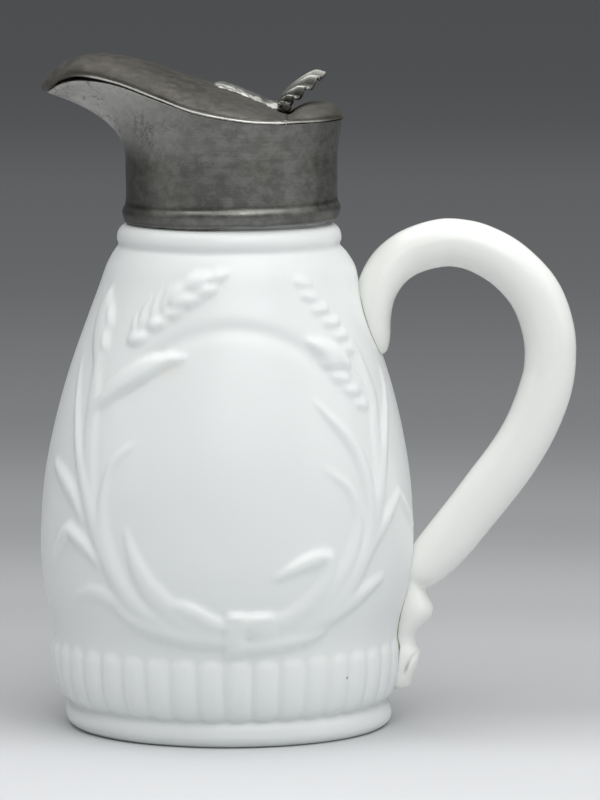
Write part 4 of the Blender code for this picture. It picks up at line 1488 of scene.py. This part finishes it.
LID_CROWN = (
    (-0.0458, 0.1562), (-0.0440, 0.1586), (-0.0413, 0.1613), (-0.0376, 0.1633), (-0.0320, 0.1643),
    (-0.0262, 0.1639), (-0.0192, 0.1621), (-0.0087, 0.1586), (0.0018, 0.1550), (0.0090, 0.1519),
    (0.0120, 0.1505), (0.0142, 0.1499),
)
COVER_CROWN = (
    (0.0141, 0.1499), (0.0150, 0.1501), (0.0161, 0.1508), (0.0177, 0.1517), (0.0198, 0.1524),
    (0.0229, 0.1527), (0.0252, 0.1520), (0.0269, 0.1504), (0.0276, 0.1493),
)


@dataclass(frozen=True)
class Lid:
    """The long arched lid over the spout.

    Attributes:
        rim: The rim under it.
        metal: Thickness.
        overhang: How far it stands out over the rim.
        tip: x of its foremost point.
        seam: x of its rear edge.
        notch: Half-width of the notch for the hinge, and x where it begins.
    """

    rim: Rim
    metal: float = 0.0009
    overhang: float = 0.0005
    tip: float = -0.0458
    seam: float = 0.0141
    notch: Row = (0.0056, 0.0119)

    def build(self, finish: bpy.types.Material) -> bpy.types.Object:
        """Makes the lid."""
        cover = Cover(LID_CROWN)
        first = self.tip + 0.0003
        stations = first + (self.seam - first) * np.linspace(0, 1, 96) ** 1.25
        grid = cover.grid(self.rim, stations, self.tip, self.rim.radius + self.overhang, 61)
        flat = grid.reshape(-1, 3)
        flat[:, 2] += ripple(flat, 0.02, 43) * 0.00007
        faces = faces_outside(flat, grid_faces(*grid.shape[:2], False), self.notch[0], self.notch[1], np.inf)
        made = sheet_metal("lid_arched", flat, faces, self.metal, 45.0)
        at = points_of(made)
        edge = height_on(self.rim.line, at[:, 0])
        # Painted highlight along the lower lip behind the spout and near the tip; a slight brightening at the
        # rear.
        low = 1 - ease(0.0003, 0.0005, at[:, 2] - edge)
        tip_and_rear_brightening = 0.05 * ease(-0.038, -0.043, at[:, 0]) + 0.035 * ease(-0.008, 0.002, at[:, 0])
        # Painted shade on the lid's sides over the spout.
        cheek = hill(at[:, 0], -0.026, 0.008) * ease(0.0030, 0.0090, np.abs(at[:, 1]))
        mark_wear_sheen_and_shade(made, np.maximum(low * ease(-0.038, -0.029, at[:, 0]), tip_and_rear_brightening), 0.30 * cheek)
        made.data.materials.append(finish)
        return made


@dataclass(frozen=True)
class RearCover:
    """The fixed hump behind the lid, with two hinge ears.

    Attributes:
        rim: The rim under it.
        hinge: The hinge it carries.
        overhang: How far it stands out over the rim.
        start: x of its front edge.
        notch: Half-width of the notch for the hinge, and how far behind the axis it reaches.
        thick: Depth of the metal at its edges.
    """

    rim: Rim
    hinge: Hinge
    overhang: float = 0.0005
    start: float = 0.01413
    notch: Row = (0.0056, 0.0021)
    thick: float = 0.0008

    def build(self, finish: bpy.types.Material) -> list[bpy.types.Object]:
        """Makes the hump and its ears."""
        end = self.rim.middle + self.rim.radius + self.overhang - 0.0002
        stations = self.start + (end - self.start) * np.sin(np.linspace(0, np.pi / 2, 40))
        grid = Cover(COVER_CROWN).grid(self.rim, stations, -0.0458, self.rim.radius + self.overhang, 61)
        flat = grid.reshape(-1, 3)
        flat[:, 2] += ripple(flat, 0.015, 47) * 0.00005
        behind = self.hinge.x + self.notch[1]
        faces = faces_outside(flat, grid_faces(*grid.shape[:2], False), self.notch[0], -np.inf, behind)
        hump = sheet_metal("rear_cover_hump", flat, faces, self.thick, 45.0)
        at = points_of(hump)
        # Painted highlight along the lower lip and on the near side of the crest; painted shade round the
        # hinge.
        edge = height_on(self.rim.line, at[:, 0])
        low = 1 - ease(0.0003, 0.0005, at[:, 2] - edge)
        crest = hill(at[:, 0], 0.0178, 0.0030) * ease(0.0, 0.0012, at[:, 2] - edge) * (at[:, 1] < -0.004)
        hinge = hill(at[:, 0], self.hinge.x, 0.0022) * (np.abs(at[:, 1]) < 0.0075)
        mark_wear_sheen_and_shade(hump, 0.8 * low * ease(0.026, 0.020, at[:, 0]) + crest * 0.07, hinge * 0.6)
        inner = self.hinge.knuckle + self.hinge.gap
        pieces = [
            hump,
            self.hinge.barrel("rear_cover_ear_near", -self.hinge.ears, -inner, self.hinge.ear_radius),
            self.hinge.barrel("rear_cover_ear_far", inner, self.hinge.ears, self.hinge.ear_radius),
        ]
        for piece in pieces:
            piece.data.materials.append(finish)
        # Painted shade on the hinge ears.
        for ear in pieces[1:]:
            mark_wear_sheen_and_shade(ear, 0.0, 0.35)
        return pieces


@dataclass(frozen=True)
class ThumbPiece:
    """The strap along the lid, the ribbed shell that leans back from it, and the lid's knuckle.

    Attributes:
        hinge: The hinge.
        strap: (x, height) line of the strap's top.
        strap_half: Its half-width along it.
        shell: (x, height) line of the shell's back, root to tip.
        shell_half: Its greatest half-width.
        spread: How far the fan of ribs opens to each side, in degrees.
        rib_turn: Degrees from rib to rib.
        rib_rise: Height of a rib.
        cup: How far the shell's sides curl down.
        metal: Thickness of the shell.
        strap_metal: Thickness of the strap.
    """

    hinge: Hinge
    strap: tuple[Row, ...] = (
        (-0.0044, 0.15665), (-0.0039, 0.15715), (-0.0026, 0.15745), (-0.0008, 0.1572), (0.0018, 0.1564),
        (0.0045, 0.15525), (0.0071, 0.1542), (0.0097, 0.1530), (0.0117, 0.1527), (0.0128, 0.1524),
    )
    strap_half: tuple[Row, ...] = (
        (-0.0044, 0.0006), (-0.0041, 0.0024), (-0.0033, 0.0042), (-0.0018, 0.0056), (0.0030, 0.0052),
        (0.0090, 0.0042), (0.0128, 0.0034),
    )
    shell: tuple[Row, ...] = (
        (0.0112, 0.1514), (0.0126, 0.1540), (0.0148, 0.1563), (0.0179, 0.1585), (0.0211, 0.1600),
        (0.0235, 0.1601),
    )
    shell_half: float = 0.0046
    spread: float = 60.0
    rib_turn: float = 12.0
    rib_rise: float = 0.00050
    cup: float = 0.0019
    metal: float = 0.0009
    strap_metal: float = 0.0005

    def strap_piece(self) -> bpy.types.Object:
        """Makes the strap."""
        rows = []
        for x in np.linspace(self.strap[0][0], self.strap[-1][0], 56):
            top = float(height_on(self.strap, x))
            half = float(height_on(self.strap_half, x))
            low = float(height_on(LID_CROWN, x)) - 0.0012
            bend = np.sin(np.linspace(np.pi / 2, -np.pi / 2, 31))
            arch = [(x, half * w, top - 0.0013 * abs(w) ** 2.2) for w in bend]
            rows.append([(x, half, low)] + arch + [(x, -half, low)])
        grid = np.array(rows)
        flat = grid.reshape(-1, 3)
        flat[:, 2] += ripple(flat, 0.004, 53) * 0.00009 + ripple(flat, 0.0014, 57) * 0.00006
        made = sheet_metal("thumb_strap", flat, grid_faces(*grid.shape[:2], False), self.strap_metal, 50.0)
        at = points_of(made)
        # Painted highlight over the strap, strongest at its edges and less towards the knuckle; painted shade
        # at that end.
        rim = ease(0.4, 1.0, np.abs(at[:, 1]) / height_on(self.strap_half, at[:, 0]))
        wear_and_sheen = (0.42 + 0.12 * rim) * (1 - 0.5 * ease(0.0040, 0.0095, at[:, 0]))
        mark_wear_sheen_and_shade(made, wear_and_sheen, 0.25 * ease(0.0104, 0.0126, at[:, 0]))
        return made

    def shell_piece(self) -> bpy.types.Object:
        """Makes the ribbed shell, its ribs spread from the root like a fan."""
        middle = smooth_path(self.shell, 12)
        ahead = np.gradient(middle, axis=0)
        ahead /= np.linalg.norm(ahead, axis=1)[:, None]
        normal = np.column_stack([-ahead[:, 1], ahead[:, 0]])
        run = np.concatenate([[0], np.cumsum(np.linalg.norm(np.diff(middle, axis=0), axis=1))])
        length = run[-1] * 1.06
        turn = np.radians(np.linspace(self.spread, -self.spread, 149))
        a, b = length / 2, self.shell_half
        reach = 2 * a * b**2 * np.cos(turn) / (b**2 * np.cos(turn) ** 2 + a**2 * np.sin(turn) ** 2)
        ribs = np.cos(turn * 360 / self.rib_turn)
        rows = []
        for t in np.linspace(0.10, 1.0, 40):
            r = t * reach * (1 + 0.018 * ribs * t)
            place = np.clip(r * np.cos(turn) - length * 0.06, 0, run[-1])
            across = r * np.sin(turn)
            lift = self.rib_rise * t**0.8 * (ribs - 0.2 * (1 - ribs)) - self.cup * (across / b) ** 2
            lift -= 0.0007 * ease(0.82, 1.0, t)
            x = np.interp(place, run, middle[:, 0]) + lift * np.interp(place, run, normal[:, 0])
            z = np.interp(place, run, middle[:, 1]) + lift * np.interp(place, run, normal[:, 1])
            rows.append(np.column_stack([x, across, z]))
        grid = np.array(rows)
        made = sheet_metal("thumb_shell", grid, grid_faces(*grid.shape[:2], False), self.metal, 50.0)
        share = np.repeat(np.linspace(0.10, 1.0, len(grid))[:, None], grid.shape[1], axis=1)
        # Painted highlights on the rib crests near the margin, more on the side ribs; painted shade in the
        # grooves.
        top = (ribs * 0.5 + 0.5)[None, :]
        crest = top * hill(share, 0.78, 0.20)
        crest *= 0.30 + 0.70 * ease(0.05, 0.45, np.abs(turn))[None, :]
        groove = (1 - top) ** 1.5 * (0.6 + 0.4 * share)
        mark_wear_sheen_and_shade(made, np.clip(0.04 + crest.ravel() ** 1.3, 0, 1), np.clip(groove, 0, 1).ravel())
        return made

    def build(self, finish: bpy.types.Material) -> list[bpy.types.Object]:
        """Makes all of the thumb-piece."""
        half = self.hinge.knuckle
        knuckle = self.hinge.barrel("thumb_knuckle", -half, half, self.hinge.knuckle_radius)
        # The knuckle gets an even share of painted highlight and painted shade.
        mark_wear_sheen_and_shade(knuckle, 0.3, 0.3)
        pieces = [self.strap_piece(), self.shell_piece(), knuckle]
        for piece in pieces:
            piece.data.materials.append(finish)
        return pieces


@dataclass(frozen=True)
class NeckCement:
    """The ring of plaster that beds the collar on the glass neck.

    Attributes:
        low: Height of its lower face.
        high: Height of its top inside the collar.
        inner: Its inside radius.
        outer: Its outside radius.
        middle: x of its axis.
        tilt: The collar's tilt.
    """

    low: float = 0.1247
    high: float = 0.1266
    inner: float = 0.02345
    outer: float = 0.0254
    middle: float = 0.0004
    tilt: float = 0.021

    def build(self, finish: bpy.types.Material) -> bpy.types.Object:
        """Makes the ring."""
        profile = (
            (self.inner, self.low), (self.outer - 0.0003, self.low), (self.outer, self.low + 0.0003),
            (self.outer, self.high), (self.inner, self.high), (self.inner, self.low),
        )
        turn = np.linspace(0, 2 * np.pi, 160, endpoint=False)
        points = np.array([
            (self.middle + r * np.cos(a), r * np.sin(a), z + self.tilt * r * np.cos(a))
            for r, z in profile[:-1]
            for a in turn
        ])
        n = len(turn)
        faces = grid_faces(len(profile) - 1, n, True)
        last = (len(profile) - 2) * n
        faces += [(last + j, last + (j + 1) % n, (j + 1) % n, j) for j in range(n)]
        made = mesh_object("neck_cement", points, faces, 50.0)
        flip_if_inside_out(made)
        made.data.materials.append(finish)
        return made


# The studio


@dataclass(frozen=True)
class View:
    """The photograph's camera.

    Attributes:
        place: Where it stands.
        down: How far it looks down, in degrees.
        lens: Focal length in millimetres for a 36 mm sensor.
    """

    place: tuple[float, float, float] = (0.0172, -1.391, 0.240)
    down: float = 6.58
    lens: float = 257.7

    def build(self) -> None:
        """Sets up the camera."""
        data = bpy.data.cameras.new("camera")
        data.lens = self.lens
        data.sensor_width = 36.0
        data.clip_start = 0.05
        data.clip_end = 60.0
        camera = bpy.data.objects.new("camera", data)
        camera.location = self.place
        camera.rotation_euler = Euler((np.radians(90 - self.down), 0, 0))
        bpy.context.scene.collection.objects.link(camera)
        bpy.context.scene.camera = camera


@dataclass(frozen=True)
class Softbox:
    """A soft rectangular light.

    Attributes:
        name: Its name.
        place: Where it hangs.
        aim: What it points at.
        size: Width and height.
        power: Watts.
        tint: Colour.
    """

    name: str
    place: tuple[float, float, float]
    aim: tuple[float, float, float]
    size: Row
    power: float
    tint: tuple[float, float, float] = (1.0, 1.0, 1.0)

    def build(self) -> None:
        """Hangs the light."""
        data = bpy.data.lights.new(self.name, "AREA")
        data.shape = "RECTANGLE"
        data.size, data.size_y = self.size
        data.energy = self.power
        data.color = self.tint
        light = bpy.data.objects.new(self.name, data)
        light.location = self.place
        light.rotation_euler = (Vector(self.aim) - Vector(self.place)).to_track_quat("-Z", "Y").to_euler()
        bpy.context.scene.collection.objects.link(light)


@dataclass(frozen=True)
class Studio:
    """The pale floor, its grey painted with light and shade, and the soft lights.

    Attributes:
        half: Half-width of the floor.
        middle: Middle of the painted pool of light in front of the jug, where the floor is palest.
        tones: Grey by distance from there, dropping at the jug as a painted soft shadow, then graded.
        ambient: Brightness of the room.
        lights: The softboxes.
    """

    half: float = 14.0
    middle: tuple[float, float, float] = (0.0, -0.45, 0.0)
    tones: tuple[Row, ...] = (
        (0.0, 0.63), (0.40, 0.605), (0.49, 0.42), (0.57, 0.41), (0.655, 0.37), (0.82, 0.275), (1.08, 0.20),
        (1.52, 0.19), (2.43, 0.30), (4.4, 0.42),
    )
    ambient: float = 0.15
    lights: tuple[Softbox, ...] = (
        Softbox("light_key", (0.28, -0.95, 1.05), (0.0, 0.0, 0.08), (1.0, 0.8), 8.3),
        Softbox("light_overhead", (0.0, 0.10, 1.30), (0.0, 0.0, 0.08), (2.0, 1.6), 22.0),
        Softbox("light_left", (-1.2, -0.35, 0.65), (0.0, 0.0, 0.08), (0.9, 1.1), 2.4),
        Softbox("light_right", (1.2, -0.35, 0.65), (0.0, 0.0, 0.08), (0.9, 1.1), 3.3),
    )

    def floor_material(self) -> bpy.types.Material:
        """Builds the floor's paper, painted with a pool of light in front of the jug,
        the jug's soft shadow behind it and greyer tones far off.
        """
        work = Shading("studio_floor_paper")
        away = work.add("ShaderNodeVectorMath", operation="DISTANCE")
        work.link(work.place, away.inputs[0])
        away.inputs[1].default_value = self.middle
        ramp = work.add("ShaderNodeValToRGB")
        ramp.color_ramp.interpolation = "EASE"
        reach = self.tones[-1][0]
        spots = ramp.color_ramp.elements
        while len(spots) < len(self.tones):
            spots.new(0.5)
        for spot, (distance, tone) in zip(spots, self.tones):
            spot.position = (distance / reach) ** 0.5
            spot.color = (tone * 0.985, tone, tone * 1.02, 1.0)
        root = work.add("ShaderNodeMath", operation="POWER")
        scaled = work.times(away.outputs["Value"], 1 / reach)
        work.link(scaled, root.inputs[0])
        root.inputs[1].default_value = 0.5
        work.link(root.outputs["Value"], ramp.inputs["Fac"])
        work.link(ramp.outputs["Color"], work.shader.inputs["Base Color"])
        work.shader.inputs["Roughness"].default_value = 0.75
        work.shader.inputs["Specular IOR Level"].default_value = 0.25
        return work.material

    def build(self) -> None:
        """Lays the floor and hangs the lights."""
        half = self.half
        corners = np.array([(-half, -half, 0), (half, -half, 0), (half, half, 0), (-half, half, 0)], float)
        floor = mesh_object("studio_floor", corners, [(0, 1, 2, 3)])
        floor.data.materials.append(self.floor_material())
        world = bpy.data.worlds.new("studio_air")
        world.use_nodes = True
        backdrop = world.node_tree.nodes["Background"]
        backdrop.inputs["Color"].default_value = (0.94, 0.97, 1.0, 1.0)
        backdrop.inputs["Strength"].default_value = self.ambient
        bpy.context.scene.world = world
        for light in self.lights:
            light.build()
        bpy.context.scene.view_settings.view_transform = "Standard"


# The jug


def on_glass(azimuth: float, height: float, rise: float = 0.0) -> tuple[float, float, float]:
    """Gives a place on the body's glass.

    Args:
        azimuth: Degrees from the front.
        height: In millimetres.
        rise: How far the relief stands out there, in millimetres.

    Returns:
        x, y and z in metres.
    """
    outline = Outline()
    level = height / 1000
    radius = float(outline.radius(level)) + rise / 1000
    bearing = np.radians(azimuth)
    lean = float(outline.lean_at(np.array(level)))
    return (lean + radius * float(np.sin(bearing)), -radius * float(np.cos(bearing)), level)


@dataclass(frozen=True)
class Finishes:
    """Every finish of the jug."""

    body: MilkGlass = MilkGlass(
        "milk_glass_moulded",
        specks=(on_glass(51.3, 37.2), on_glass(43.3, 15.9, 0.8)),
        stains=(
            (*on_glass(37.3, 114.8), 0.0030), (*on_glass(-47.5, 122.0), 0.0022),
            (*on_glass(-20.4, 91.5), 0.0042), (*on_glass(-21.0, 103.6), 0.0040),
            (*on_glass(74.0, 108.5), 0.0050),
        ),
    )
    # Painted light: the handle's glass is set paler than the body's, for the brighter light on its top.
    handle: MilkGlass = MilkGlass(
        "milk_glass_drawn", colour=(0.87, 0.878, 0.85), shade=(0.85, 0.855, 0.82), roughness=0.20, folded=True
    )
    seam: PlainFinish = PlainFinish("seam_soil_and_shadow", (0.42, 0.40, 0.28), (0.17, 0.15, 0.09))
    collar: AgedPewter = AgedPewter("pewter_collar", patina_share=0.2)
    # The bright worn colours of lid, cover and thumb-piece mostly stand for painted highlights; the lid's is
    # near white.
    lid: AgedPewter = AgedPewter(
        "pewter_lid", colour=(0.084, 0.079, 0.067), dull=(0.044, 0.042, 0.035), stain=(0.022, 0.020, 0.016),
        patina=(0.072, 0.058, 0.038), patina_share=0.6, worn=(1.0, 0.98, 0.93), roughness=0.45,
        brushing=0.00001, metal=0.6,
    )
    cover: AgedPewter = AgedPewter(
        "pewter_cover", colour=(0.092, 0.089, 0.072), dull=(0.068, 0.066, 0.052), stain=(0.045, 0.040, 0.032),
        patina=(0.095, 0.083, 0.055), patina_share=0.5, worn=(0.80, 0.78, 0.72), roughness=0.48,
        brushing=0.00001, metal=0.6,
    )
    thumb: AgedPewter = AgedPewter(
        "pewter_thumb", colour=(0.22, 0.22, 0.20), dull=(0.15, 0.15, 0.135), worn=(0.92, 0.91, 0.87),
        roughness=0.30, patina_share=0.15,
    )
    pin: AgedPewter = AgedPewter("dark_pin", colour=(0.20, 0.19, 0.18), dull=(0.12, 0.11, 0.10))
    cement: PlainFinish = PlainFinish("neck_plaster", (0.34, 0.32, 0.28), (0.20, 0.185, 0.16))


class MolassesJug:
    """The whole jug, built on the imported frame."""

    def __init__(self, frame: dict) -> None:
        """Keeps the frame and the shared sizes.
        """
        self.frame = frame
        self.outline = Outline()
        self.rim = Rim()
        self.hinge = Hinge()
        self.finishes = Finishes()

    def settle(
        self,
        pieces: bpy.types.Object | list[bpy.types.Object],
        body: Body,
        node: str | None = None,
    ) -> None:
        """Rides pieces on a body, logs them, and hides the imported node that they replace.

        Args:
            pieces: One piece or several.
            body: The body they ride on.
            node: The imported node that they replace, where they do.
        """
        group = pieces if isinstance(pieces, list) else [pieces]
        for piece in group:
            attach(piece, body.value)
            log.info("%s rides on %s, %d vertices", piece.name, body.value, len(piece.data.vertices))
        if node:
            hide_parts(node)

    def dress_pin(self) -> None:
        """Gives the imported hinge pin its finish."""
        pin = self.frame["nodes"]["hinge_pin"]
        pin.data.materials.clear()
        pin.data.materials.append(self.finishes.pin.material())
        log.info("hinge_pin dressed")

    def build(self) -> None:
        """Builds and settles every piece."""
        handle = GlassHandle()
        body = GlassBody(self.outline).build(self.finishes.body.material())
        self.settle(body, Body.JUG, "glass_body")
        loop = handle.build(self.finishes.handle.material())
        self.settle(loop, Body.JUG, "glass_handle")
        seam = HandleSeam().build(self.finishes.seam.material(), handle, self.outline)
        self.settle(seam, Body.JUG)
        collar = Collar(self.rim).build(self.finishes.collar.material())
        self.settle(collar, Body.JUG, "collar")
        cement = NeckCement().build(self.finishes.cement.material())
        self.settle(cement, Body.JUG)
        cover = RearCover(self.rim, self.hinge).build(self.finishes.cover.material())
        self.settle(cover, Body.JUG, "rear_cover")
        lid = Lid(self.rim).build(self.finishes.lid.material())
        self.settle(lid, Body.LID, "lid")
        thumb = ThumbPiece(self.hinge).build(self.finishes.thumb.material())
        self.settle(thumb, Body.LID, "thumb_lift")
        self.dress_pin()


def main() -> None:
    """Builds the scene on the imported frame."""
    logging.basicConfig(level=logging.INFO, format="%(name)s: %(message)s")
    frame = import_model()
    View().build()
    Studio().build()
    MolassesJug(frame).build()


if __name__ == "__main__":
    main()
